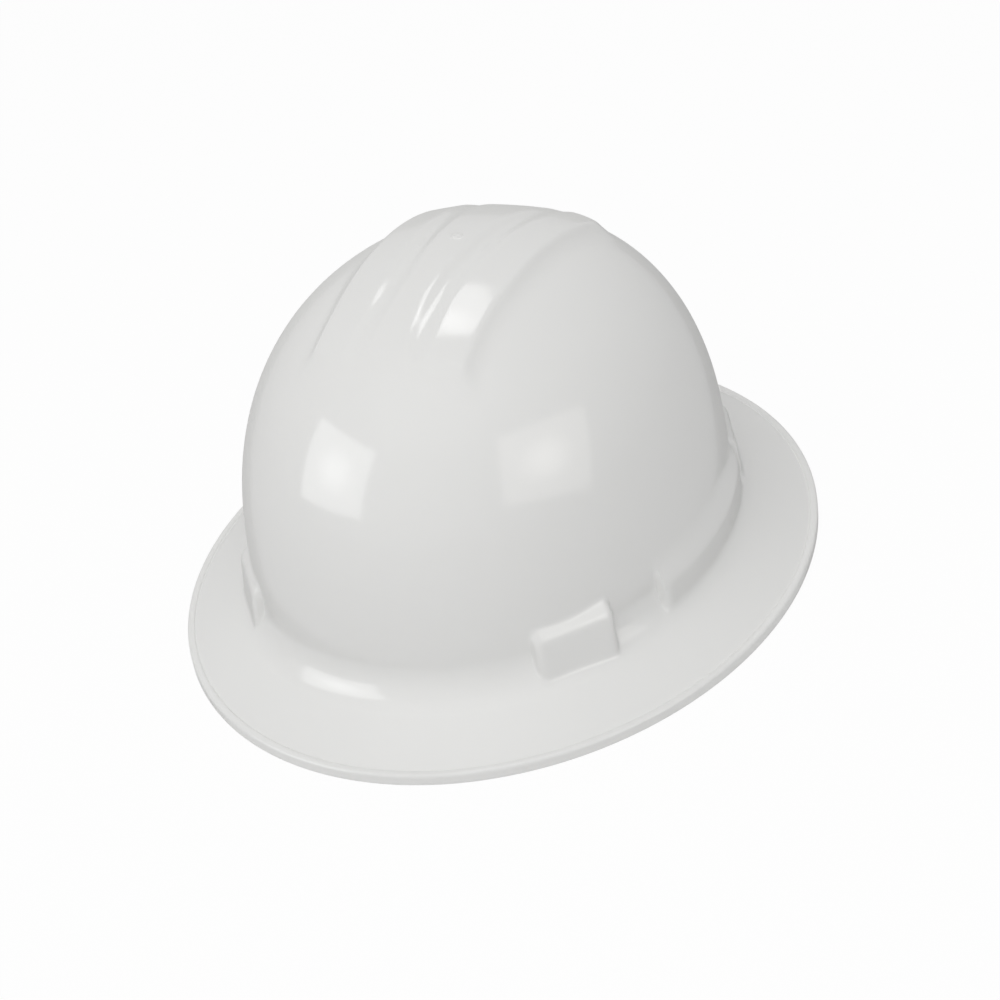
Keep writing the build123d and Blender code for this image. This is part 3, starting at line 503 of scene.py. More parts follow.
@dataclass
class Shell:
    """Moulded shell: dome, flared brim with a bead, crown ridges, key bosses and side bosses."""

    rim_half_width: float = 137.0
    rim_half_length: float = 160.3
    rim_middle_y: float = -0.3
    wall: float = 2.5
    bead_width: float = 3.4
    bead_height: float = 5.0
    edge_height: float = 3.4
    slope: float = 25.0
    flare_radius: float = 18.0
    half_width: float = 101.3
    half_length: float = 121.9
    middle_y: float = -3.8
    rise: float = 120.278
    fullness: float = 2.39
    crest_top: float = 155.7
    crest_radius: float = 150.0
    crest_half_width: float = 35.4
    crest_fan: float = 0.05
    crest_fan_run: Pair = (-45.0, 60.0)
    crest_crown: float = 4.9
    crest_lean: float = 56.0
    crest_blend: float = 0.9
    groove_offset: float = 14.3
    groove_fan: float = 0.075
    groove_fan_run: Pair = (-25.0, 60.0)
    groove_radius: float = 7.0
    groove_depth: float = 2.3
    groove_blend: float = 1.8
    middle_slope: float = 0.07
    ridge_slopes: Pair = (0.188, 0.229)
    crest_reach: float = 70.0
    crest_reach_half_width: float = 52.0
    crest_reach_level: float = 134.0
    crest_end_round: float = 36.0
    crest_end_slope: float = 30.0
    crest_end_blend: float = 1.6
    fade_radius: float = 127.2
    fade_stand: float = 1.6
    fade_blend: float = 1.5
    crest_limit_x: float = 51.0
    crest_limit_y: float = 80.0
    crest_floor: float = 110.0
    crest_join: float = 3.6
    boss_half_width: float = 17.0
    boss_swell: float = 0.8
    boss_fold: float = 34.5
    boss_lean: float = 0.12
    boss_roof: float = 51.5
    boss_depth: float = 12.0
    boss_roof_blend: float = 1.2
    boss_side_blend: float = 4.2
    boss_join: float = 1.0
    pad_middle_y: float = -0.8
    pad_half_length: float = 47.785
    pad_stand: float = 4.2
    pad_flare: float = 0.5
    pad_bottom: float = 8.0
    pad_fold: float = 31.5
    pad_roof: float = 66.0
    pad_depth: float = 6.0
    pad_roof_blend: float = 0.8
    pad_end_blend: float = 0.9
    pad_join: float = 1.4
    lift_run: Pair = (-6.0, 26.0)
    halvings: int = 34
    dome_rows_from: float = 98.0
    dome_rows_finer_from: float = 45.0
    outside_counts: tuple[int, int, int, int] = (25, 51, 23, 12)
    inside_counts: tuple[int, int, int] = (7, 11, 20)
    bead_margins: Pair = (0.7, 1.4)
    line_fade: float = 0.72
    pad_edge_share: float = 0.92
    boss_edge_set_in: float = 3.0
    crowding: float = 5.0
    crowding_width: float = 0.024
    bead_round: float = 1.2
    bead_step: float = 0.6
    sharp: float = 38.0
    socket_wall: float = 2.4
    socket_gap: float = 3.8
    socket_web: float = 2.0
    socket_half_width: float = 13.0
    socket_side: float = 2.5
    socket_top: float = 32.0
    socket_bottom: float = 17.5
    below: float = -4.0
    slot_outer: float = 102.0
    slot_gap: float = 4.6
    slot_web: float = 2.2
    slot_half_length: float = 18.0
    slot_top: float = 33.0
    gate_place: Vec = (0.7, -0.3, 155.35)
    gate_radius: float = 3.3
    gate_height: float = 0.6
    gate_dimple: float = 0.22
    gate_root: float = 0.9
    gate_sides: int = 32
    bosses: list[KeyBoss] = field(default_factory=lambda: [
        KeyBoss(76.502, -89.496, -40.224), KeyBoss(-76.502, -89.496, 220.224),
        KeyBoss(86.303, 68.099, 27.013), KeyBoss(-86.303, 68.099, 152.987)])

    def __post_init__(self) -> None:
        """Work out where the flare starts and how far the brim reaches."""
        turn = math.radians(self.slope)
        self.flare_end = math.radians(90.0 - self.slope)
        self.rise_share = math.tan(turn)
        self.reach = self.rim_half_width - self.bead_width / 2.0 - self.half_width
        self.reach_long = self.rim_half_length - self.bead_width / 2.0 - self.half_length
        self.flare_foot = self.flare_radius * (1.0 - math.sin(turn))
        self.flare_start = (self.edge_height + self.flare_radius * math.cos(turn)
                            + (self.reach - self.flare_foot) * self.rise_share)

    def half_axes(self, outward: np.ndarray) -> tuple[np.ndarray, np.ndarray, np.ndarray]:
        """Half width, half length and middle of the ellipse that lies outward of the dome's foot."""
        share = np.maximum(outward, 0.0) / self.reach
        return (self.half_width + outward,
                self.half_length + share * self.reach_long + np.minimum(outward, 0.0),
                self.middle_y + share * (self.rim_middle_y - self.middle_y))

    def ring(self, angle: np.ndarray, height: np.ndarray, outward: np.ndarray) -> np.ndarray:
        """Point of the ellipse that lies outward of the dome's foot, at a height."""
        a, b, middle = self.half_axes(outward)
        return np.stack([a * np.cos(angle), middle + b * np.sin(angle), height + 0.0 * a], -1)

    def ring_normal(self, angle: np.ndarray, outward: np.ndarray, tilt: np.ndarray) -> np.ndarray:
        """Outward normal of such a point, tilted up from level by an angle."""
        a, b, _ = self.half_axes(outward)
        level = unit(np.stack([np.cos(angle) / a, np.sin(angle) / b], -1))
        return np.concatenate([level * np.cos(tilt)[..., None], np.sin(tilt)[..., None]], -1)

    def brim_height(self, outward: np.ndarray) -> np.ndarray:
        """Height of the brim's upper face, a slope that falls to the edge's height at the rim."""
        return self.edge_height + (self.reach - outward) * self.rise_share

    def flare_rows(self, foot: np.ndarray, tilt: np.ndarray) -> Arrays:
        """Points and normals of the flare's rows, one for each tilt: a round from dome to brim."""
        grid_tilt, grid_foot = np.meshgrid(tilt, foot, indexing="ij")
        outward = self.flare_radius * (1.0 - np.cos(grid_tilt))
        height = self.flare_start - self.flare_radius * np.sin(grid_tilt)
        return self.ring(grid_foot, height, outward), self.ring_normal(grid_foot, outward, grid_tilt)

    def brim_rows(self, foot: np.ndarray, outward: np.ndarray) -> Arrays:
        """Points and normals of the brim's rows, one for each way outward."""
        grid_out, grid_foot = np.meshgrid(outward, foot, indexing="ij")
        tilt = np.full_like(grid_out, self.flare_end)
        points = self.ring(grid_foot, self.brim_height(grid_out), grid_out)
        return points, self.ring_normal(grid_foot, grid_out, tilt)

    def dome(self, angle: np.ndarray, turn: np.ndarray) -> tuple[np.ndarray, np.ndarray]:
        """Points and normals of the dome: a superellipse turned into an oval.

        The plan shrinks as the cosine of the turn to the power two over fullness, and the
        height grows as the sine to the same power.

        Args:
            angle: place round the oval.
            turn: nought at the foot and a right angle at the crown.

        Returns:
            Points and unit normals.
        """
        power = 2.0 / self.fullness
        reach = np.cos(turn) ** power
        up = np.sin(turn) ** power
        points = np.stack([self.half_width * reach * np.cos(angle),
                           self.middle_y + self.half_length * reach * np.sin(angle),
                           self.flare_start + self.rise * up], -1)
        k = self.fullness - 1.0
        normals = np.stack([reach ** k * np.cos(angle) / self.half_width,
                            reach ** k * np.sin(angle) / self.half_length, up ** k / self.rise], -1)
        return points, unit(normals)

    def crest_field(self, p: np.ndarray) -> np.ndarray:
        """Distance outside the ridged crown.

        The top is an arc about a cross axis, with two round grooves. It falls towards its
        sides by a parabola between the grooves and by a steeper one beyond them. It is cut by
        a slope along each side, by a rounded rectangle that widens downwards, and by a tighter
        arc that fades its two ends into the dome. The slopes and the grooves fan out a little
        from the face to the nape.

        Args:
            p: points.

        Returns:
            Distances, below nought inside the ridges.
        """
        x, y, z = p[..., 0], p[..., 1] - self.middle_y, p[..., 2]
        r = np.hypot(y, z - self.crest_top + self.crest_radius)
        half_width = self.crest_half_width + self.crest_fan * np.clip(y, *self.crest_fan_run)
        groove_x = self.groove_offset + self.groove_fan * np.clip(y, *self.groove_fan_run)
        inner, outer = np.minimum(np.abs(x), groove_x), np.maximum(np.abs(x) - groove_x, 0.0)
        start, stop = self.ridge_slopes
        fall = (self.middle_slope * inner * inner / (2.0 * groove_x)
                + outer * (start + (stop - start) * outer / (2.0 * (half_width - groove_x))))
        top = r - self.crest_radius + fall
        lean = math.radians(self.crest_lean)
        side = ((np.abs(x) - half_width) * math.sin(lean)
                + (r - self.crest_radius + self.crest_crown) * math.cos(lean))
        body = smooth_max(top, side, self.crest_blend)
        sunk = r - self.crest_radius + self.groove_depth - self.groove_radius
        groove = self.groove_radius - np.hypot(np.abs(x) - groove_x, sunk)
        body = smooth_max(body, groove, self.groove_blend)
        fade = np.hypot(y, z - self.crest_top - self.fade_stand + self.fade_radius) - self.fade_radius
        body = smooth_max(body, fade, self.fade_blend)
        corner_x = np.abs(x) - self.crest_reach_half_width + self.crest_end_round
        corner_y = np.abs(y) - self.crest_reach + self.crest_end_round
        plan = (np.hypot(np.maximum(corner_x, 0.0), np.maximum(corner_y, 0.0))
                + np.minimum(np.maximum(corner_x, corner_y), 0.0) - self.crest_end_round)
        slope = math.radians(self.crest_end_slope)
        end = plan * math.cos(slope) + (z - self.crest_reach_level) * math.sin(slope)
        body = smooth_max(body, end, self.crest_end_blend)
        limit = np.maximum(np.abs(x) - self.crest_limit_x, np.abs(y) - self.crest_limit_y)
        return np.maximum(np.maximum(body, limit), self.crest_floor - z)

    def boss_field(self, p: np.ndarray, boss: KeyBoss) -> np.ndarray:
        """Distance outside a key boss: leaning face, sloped roof and two sides, with rounded edges."""
        turn = math.radians(boss.turn)
        u = (p[..., 0] - boss.x) * math.cos(turn) + (p[..., 1] - boss.y) * math.sin(turn)
        w = -(p[..., 0] - boss.x) * math.sin(turn) + (p[..., 1] - boss.y) * math.cos(turn)
        face = u - self.boss_lean * (self.boss_fold - p[..., 2])
        roof_turn = math.radians(self.boss_roof)
        roof = u * math.sin(roof_turn) + (p[..., 2] - self.boss_fold) * math.cos(roof_turn)
        sides = np.abs(w) - self.boss_half_width - self.boss_swell
        body = smooth_max(smooth_max(face, roof, self.boss_roof_blend), sides, self.boss_side_blend)
        return np.maximum(body, -u - self.boss_depth)

    def side_field(self, p: np.ndarray) -> np.ndarray:
        """Distance outside the two side bosses: a grown oval with a sloped roof and flat ends."""
        a, b = self.half_width, self.half_length
        x, y = p[..., 0], p[..., 1] - self.middle_y
        rho = np.hypot(x / a, y / b) + 1e-9
        away = (rho - 1.0) * rho / np.hypot(x / (a * a), y / (b * b))
        flare = self.pad_flare * (self.pad_fold - p[..., 2]) / (self.pad_fold - self.pad_bottom)
        face = away - self.pad_stand - flare
        roof_turn = math.radians(self.pad_roof)
        roof = ((away - self.pad_stand) * math.sin(roof_turn)
                + (p[..., 2] - self.pad_fold) * math.cos(roof_turn))
        ends = np.abs(p[..., 1] - self.pad_middle_y) - self.pad_half_length
        body = smooth_max(smooth_max(face, roof, self.pad_roof_blend), ends, self.pad_end_blend)
        return np.maximum(body, -away - self.pad_depth)

    def lift(self, points: np.ndarray, normals: np.ndarray, side: Surface) -> np.ndarray:
        """Move points along their normals on to the full surface, found by halving.

        Args:
            points: points of the plain dome, flare and brim.
            normals: their unit normals.
            side: which side of the wall is wanted.

        Returns:
            Points of the surface.
        """
        level = 0.0 if side is Surface.OUTSIDE else -self.wall

        def excess(h: np.ndarray) -> np.ndarray:
            """Height above the surface for a lift of h."""
            p = points + normals * h[..., None]
            value = smooth_min(h, self.crest_field(p), self.crest_join)
            if side is Surface.OUTSIDE:
                value = smooth_min(value, self.side_field(p), self.pad_join)
                for boss in self.bosses:
                    value = smooth_min(value, self.boss_field(p, boss), self.boss_join)
            return value - level

        low, high = (np.full(points.shape[:-1], end) for end in self.lift_run)
        for _ in range(self.halvings):
            middle = (low + high) / 2.0
            above = excess(middle) > 0.0
            high = np.where(above, middle, high)
            low = np.where(above, low, middle)
        return points + normals * ((low + high) / 2.0)[..., None]

    def crown_grid(self) -> tuple[np.ndarray, np.ndarray]:
        """Plan places of the crown's straight grid, fine at the grooves and the ridges' ends."""
        half_x = graded([0.0, 6.0, 21.0, 31.0, 50.0, 54.0], [1.5, 0.75, 1.6, 0.95, 2.0])
        half_y = graded([0.0, 34.0, 76.0, 82.0], [3.0, 1.6, 2.0])
        xs = np.concatenate([-half_x[:0:-1], half_x])
        ys = np.concatenate([-half_y[:0:-1], half_y])
        return xs, ys

    def dome_place(self, x: np.ndarray, y: np.ndarray) -> tuple[np.ndarray, np.ndarray]:
        """Angle and turn of the dome's point over a plan place, y counted from the dome's middle."""
        reach = np.clip(np.hypot(x / self.half_width, y / self.half_length), 0.0, 1.0)
        return (np.arctan2(y / self.half_length, x / self.half_width),
                np.arccos(reach ** (self.fullness / 2.0)))

    def foot_angles(self, count: int, front: bool) -> np.ndarray:
        """Angles of one quarter's lines at the dome's foot, crowded where the bosses' sides stand.

        Args:
            count: number of lines in the quarter.
            front: whether it is a front quarter, else a rear one.

        Returns:
            Angles from nought to a right angle, one more than the count.
        """
        boss = self.bosses[0] if front else self.bosses[2]
        turn = math.radians(boss.turn)
        edges = [math.atan2(self.pad_half_length / self.half_length, self.pad_edge_share)]
        u = self.boss_edge_set_in
        for w in (-self.boss_half_width, self.boss_half_width):
            x = boss.x - u * math.cos(turn) - w * math.sin(turn)
            y = boss.y - u * math.sin(turn) + w * math.cos(turn) - self.middle_y
            edges.append(abs(math.atan2(y / self.half_length, x / self.half_width)))
        fine = np.linspace(0.0, math.pi / 2.0, 4001)
        density = np.ones_like(fine)
        for edge in edges:
            density += self.crowding * np.exp(-((fine - edge) / self.crowding_width) ** 2)
        total = np.concatenate([[0.0], np.cumsum((density[1:] + density[:-1]) / 2.0)])
        return np.interp(np.linspace(0.0, total[-1], count + 1), total, fine)

    def foot_line(self, quarter: int) -> np.ndarray:
        """Angles of all lines at the dome's foot: two rear quarters, then two front ones."""
        rear = self.foot_angles(quarter, False)
        front = self.foot_angles(quarter, True)
        return np.concatenate([rear[:-1], math.pi - rear[:0:-1], math.pi + front[:-1],
                               2.0 * math.pi - front[:0:-1]])

    def dome_rows(self, levels: np.ndarray, start: Arrays, foot: np.ndarray) -> Arrays:
        """Points and normals of the dome's rows below the crown's grid.

        Args:
            levels: share of the way down in turn, one a row.
            start: angle and turn of the points of the grid's edge.
            foot: angles of the same lines at the foot.

        Returns:
            Points and normals: the turn shrinks with the level, and the angle runs from the
            edge's to the foot's by a smooth step.
        """
        turn = start[1][None, :] * (1.0 - levels[:, None])
        blend = smooth_step(levels, 0.0, self.line_fade)[:, None]
        return self.dome(start[0][None, :] * (1.0 - blend) + foot[None, :] * blend, turn)

    def bead_rows(self, foot: np.ndarray) -> np.ndarray:
        """Rows of the bead: up from the brim, over, down the rim, under, and in to the underside."""
        half = self.bead_width / 2.0
        inner, outer = self.reach - half, self.reach + half
        top, r, step = self.bead_height, self.bead_round, self.bead_step
        under = self.edge_height + half * self.rise_share - self.wall / math.cos(math.radians(self.slope))
        profile = [(inner - 0.25, self.edge_height + (half + 0.3) * self.rise_share + 0.05),
                   (inner + 0.05, top - 0.45)]
        profile += [(inner + 0.75 - step * math.cos(c), top - step + step * math.sin(c))
                    for c in np.radians([18.0, 42.0, 66.0, 90.0])]
        profile += [(outer - r + r * math.sin(c), top - r + r * math.cos(c))
                    for c in np.radians([0.0, 20.0, 40.0, 60.0, 80.0])]
        profile += [(outer, top - r - 0.5), (outer, 1.6), (outer, 0.6), (outer - 0.15, 0.2),
                    (outer - 0.55, 0.0), (inner + 0.5, 0.0), (inner + 0.1, 0.2), (inner, 0.6),
                    (inner - 0.15, under - 0.1)]
        out, up = np.array(profile).T
        grid_out, grid_foot = np.meshgrid(out, foot, indexing="ij")
        return self.ring(grid_foot, np.repeat(up[:, None], len(foot), 1), grid_out)

    def wall_rows(self, parts: list[Arrays], side: Surface) -> np.ndarray:
        """Sets of rows, one after the other, lifted on to a side of the full surface."""
        points, normals = (np.concatenate(group) for group in zip(*parts))
        return self.lift(points, normals, side)

    def build(self) -> bpy.types.Object:
        """Make the closed wall: a grid on the crown, lines from it to the rim, and the same inside."""
        xs, ys = self.crown_grid()
        nx, ny = len(xs), len(ys)
        half_x, half_y = nx // 2, ny // 2
        angle, turn = self.dome_place(*np.meshgrid(xs, ys, indexing="ij"))
        plain_crown = self.dome(angle, turn)

        # The grid's edge, counter-clockwise from the middle of its right side
        number = np.arange(nx * ny).reshape(nx, ny)
        edge = np.concatenate([number[-1, half_y:-1], number[:0:-1, -1], number[0, :0:-1],
                               number[:-1, 0], number[-1, :half_y]])
        lines = len(edge)
        foot = self.foot_line(half_x + half_y)
        start_angle = np.unwrap(angle.ravel()[edge])
        start_angle = np.where(start_angle < -1e-6, start_angle + 2.0 * math.pi, start_angle)
        start = (start_angle, turn.ravel()[edge])

        # Rows from the crown's grid to the bead, and from the bead back up inside
        upper, lower, flare, brim = self.outside_counts
        finer = self.dome_rows_finer_from
        heights = np.append(np.linspace(self.dome_rows_from, finer, upper)[1:],
                            np.linspace(finer, 0.0, lower)[1:])
        turns = np.arcsin((heights / self.rise) ** (self.fullness / 2.0))
        top_turn = math.asin((self.dome_rows_from / self.rise) ** (self.fullness / 2.0))
        outside_end, inside_end = (self.reach - self.bead_width / 2.0 - gap for gap in self.bead_margins)
        outer = self.wall_rows([self.dome_rows(1.0 - turns / top_turn, start, foot),
                                self.flare_rows(foot, np.linspace(0.0, self.flare_end, flare)[1:]),
                                self.brim_rows(foot, np.linspace(self.flare_foot, outside_end, brim)[1:])],
                               Surface.OUTSIDE)
        brim, flare, dome = self.inside_counts
        inner = self.wall_rows([self.brim_rows(foot, np.linspace(inside_end, self.flare_foot, brim)),
                                self.flare_rows(foot, np.linspace(self.flare_end, 0.0, flare)[1:]),
                                self.dome_rows(np.linspace(1.0, 0.0, dome)[1:-1], start, foot)],
                               Surface.INSIDE)
        wall = np.concatenate([outer, self.bead_rows(foot), inner])
        crown = self.lift(*plain_crown, Surface.OUTSIDE)
        inner_crown = self.lift(*plain_crown, Surface.INSIDE)

        # Point numbers: crown, wall row by row, crown inside
        first = nx * ny
        inner_first = first + wall.shape[0] * lines
        points = np.concatenate([rows.reshape(-1, 3) for rows in (crown, wall, inner_crown)])
        top = first + np.arange(lines)
        low = inner_first - lines + np.arange(lines)
        after = np.roll(np.arange(lines), -1)
        inner_edge = edge + inner_first
        crown_faces = grid_faces(nx, ny, False)
        faces = np.concatenate([crown_faces,
                                np.stack([edge, top, top[after], edge[after]], -1),
                                grid_faces(wall.shape[0], lines, True, first)[:, ::-1],
                                np.stack([low, inner_edge, inner_edge[after], low[after]], -1),
                                (crown_faces + inner_first)[:, ::-1]])
        obj = make_mesh("moulded_shell", points, list(faces))
        turn_out(obj)
        self.cut_sockets(obj)
        obj.data.set_sharp_from_angle(angle=math.radians(self.sharp))
        return obj

    def cut_sockets(self, obj: bpy.types.Object) -> None:
        """Add the webs inside the key bosses and the side bosses, then cut their pockets from below."""
        webs, pockets = [], []
        gap_end = -self.socket_wall - self.socket_gap
        half = self.socket_half_width
        for boss in self.bosses:
            place = (boss.x, boss.y, boss.turn)
            webs.append(block(*place, (gap_end - self.socket_web, -self.socket_wall),
                              (-half - self.socket_side, half + self.socket_side),
                              (self.socket_bottom, self.socket_top + self.socket_web)))
            pockets.append(block(*place, (gap_end, -self.socket_wall), (-half, half),
                                 (self.below, self.socket_top)))
        half = self.slot_half_length
        slot_inner = self.slot_outer - self.slot_gap
        for turn in (0.0, 180.0):
            place = (0.0, self.pad_middle_y, turn)
            webs.append(block(*place, (slot_inner - self.slot_web, self.slot_outer),
                              (-half - self.slot_web, half + self.slot_web),
                              (self.socket_bottom, self.slot_top + self.slot_web)))
            pockets.append(block(*place, (slot_inner, self.slot_outer), (-half, half),
                                 (self.below, self.slot_top)))
        recess(obj, webs, "UNION")
        recess(obj, pockets, "DIFFERENCE")

    def gate_mark(self) -> bpy.types.Object:
        """Small round mark that the moulding gate leaves on the crown.

        A low dish turned about the upright: its height falls off as one less the fourth power of
        the way out, with a shallow dimple in the middle.
        """
        share = np.linspace(0.0, 1.0, 13)
        height = self.gate_height * (1.0 - share ** 4) - self.gate_dimple * np.exp(-(share / 0.35) ** 2)
        sides = self.gate_sides
        grid_share, grid_angle = np.meshgrid(share[1:], round_angles(sides), indexing="ij")
        x, y, z = self.gate_place
        points = np.stack([x + self.gate_radius * grid_share * np.cos(grid_angle),
                           y + self.gate_radius * grid_share * np.sin(grid_angle),
                           z + np.repeat(height[1:, None], sides, 1)], -1).reshape(-1, 3)
        foot = points[-sides:] - np.array([0.0, 0.0, self.gate_root])
        points = np.concatenate([points, foot, [[x, y, z + height[0]]]])
        faces = [tuple(face) for face in grid_faces(len(share), sides, True)]
        faces += [(len(points) - 1, i, (i + 1) % sides) for i in range(sides)]
        faces.append(tuple(len(points) - 2 - i for i in range(sides)))
        obj = make_mesh("gate_mark", points, faces)
        turn_out(obj)
        return obj


# Webbing and pads
def capped_sweep(rows: int, columns: int) -> list:
    """Faces of a closed section carried along a path, with one many-sided face at each end."""
    faces = list(grid_faces(rows, columns, True))
    faces.append(tuple(range(columns)))
    faces.append(tuple(rows * columns - 1 - i for i in range(columns)))
    return faces


# Rings of a stitch: place along it, radius and height, the last two as shares of the thread's radius
SPINDLE = ((-0.5, 0.2, -0.7), (-0.36, 0.8, 0.0), (0.0, 1.0, 0.35), (0.36, 0.8, 0.0), (0.5, 0.2, -0.7))
SPINDLE_SIDES = 6


def sew(name: str, first: np.ndarray, last: np.ndarray, out: np.ndarray,
        radius: float = 0.34) -> bpy.types.Object:
    """Row of thread stitches, each a small spindle that dips into the cloth at both ends.

    Each ring's point is the stitch's middle, moved along it by the ring's place, across by its
    radius times cos and out by its height and its radius times sin of the way round.

    Args:
        name: object's name.
        first: where each stitch goes in.
        last: where each stitch comes out.
        out: the cloth's outward normal at each stitch.
        radius: thread's radius in the middle of a stitch.

    Returns:
        The stitches, as one object.
    """
    along = last - first
    length = np.linalg.norm(along, axis=-1, keepdims=True)
    along = along / length
    out = unit(out - along * np.sum(out * along, axis=-1, keepdims=True))
    across = np.cross(along, out)
    share, size, rise = np.array(SPINDLE).T
    angle = round_angles(SPINDLE_SIDES)
    lift = (rise * radius)[:, None] + (size * radius)[:, None] * np.sin(angle)
    side = (size * radius)[:, None] * np.cos(angle)
    middle, along, out, across = (way[:, None, None, :] for way in ((first + last) / 2.0, along, out, across))
    points = (middle + along * (length * share)[:, :, None, None]
              + out * lift[None, :, :, None] + across * side[None, :, :, None])
    one = capped_sweep(len(SPINDLE), SPINDLE_SIDES)
    size_of_one = len(SPINDLE) * SPINDLE_SIDES
    faces = [tuple(np.add(face, size_of_one * i)) for i in range(len(first)) for face in one]
    obj = make_mesh(name, points.reshape(-1, 3), faces)
    turn_out(obj)
    return obj


def dashes(length: float, pitch: float = 2.6, stitch: float = 2.0) -> tuple[np.ndarray, np.ndarray]:
    """Starts and ends of evenly spaced stitches along a line, counted from its start."""
    count = max(int(length / pitch), 1)
    middle = (np.arange(count) + 0.5) * length / count
    return middle - stitch / 2.0, middle + stitch / 2.0


class Layer(Enum):
    """Which strap of the cross: the one that lies over the other, or the one under it."""

    UPPER = 0
    LOWER = 1


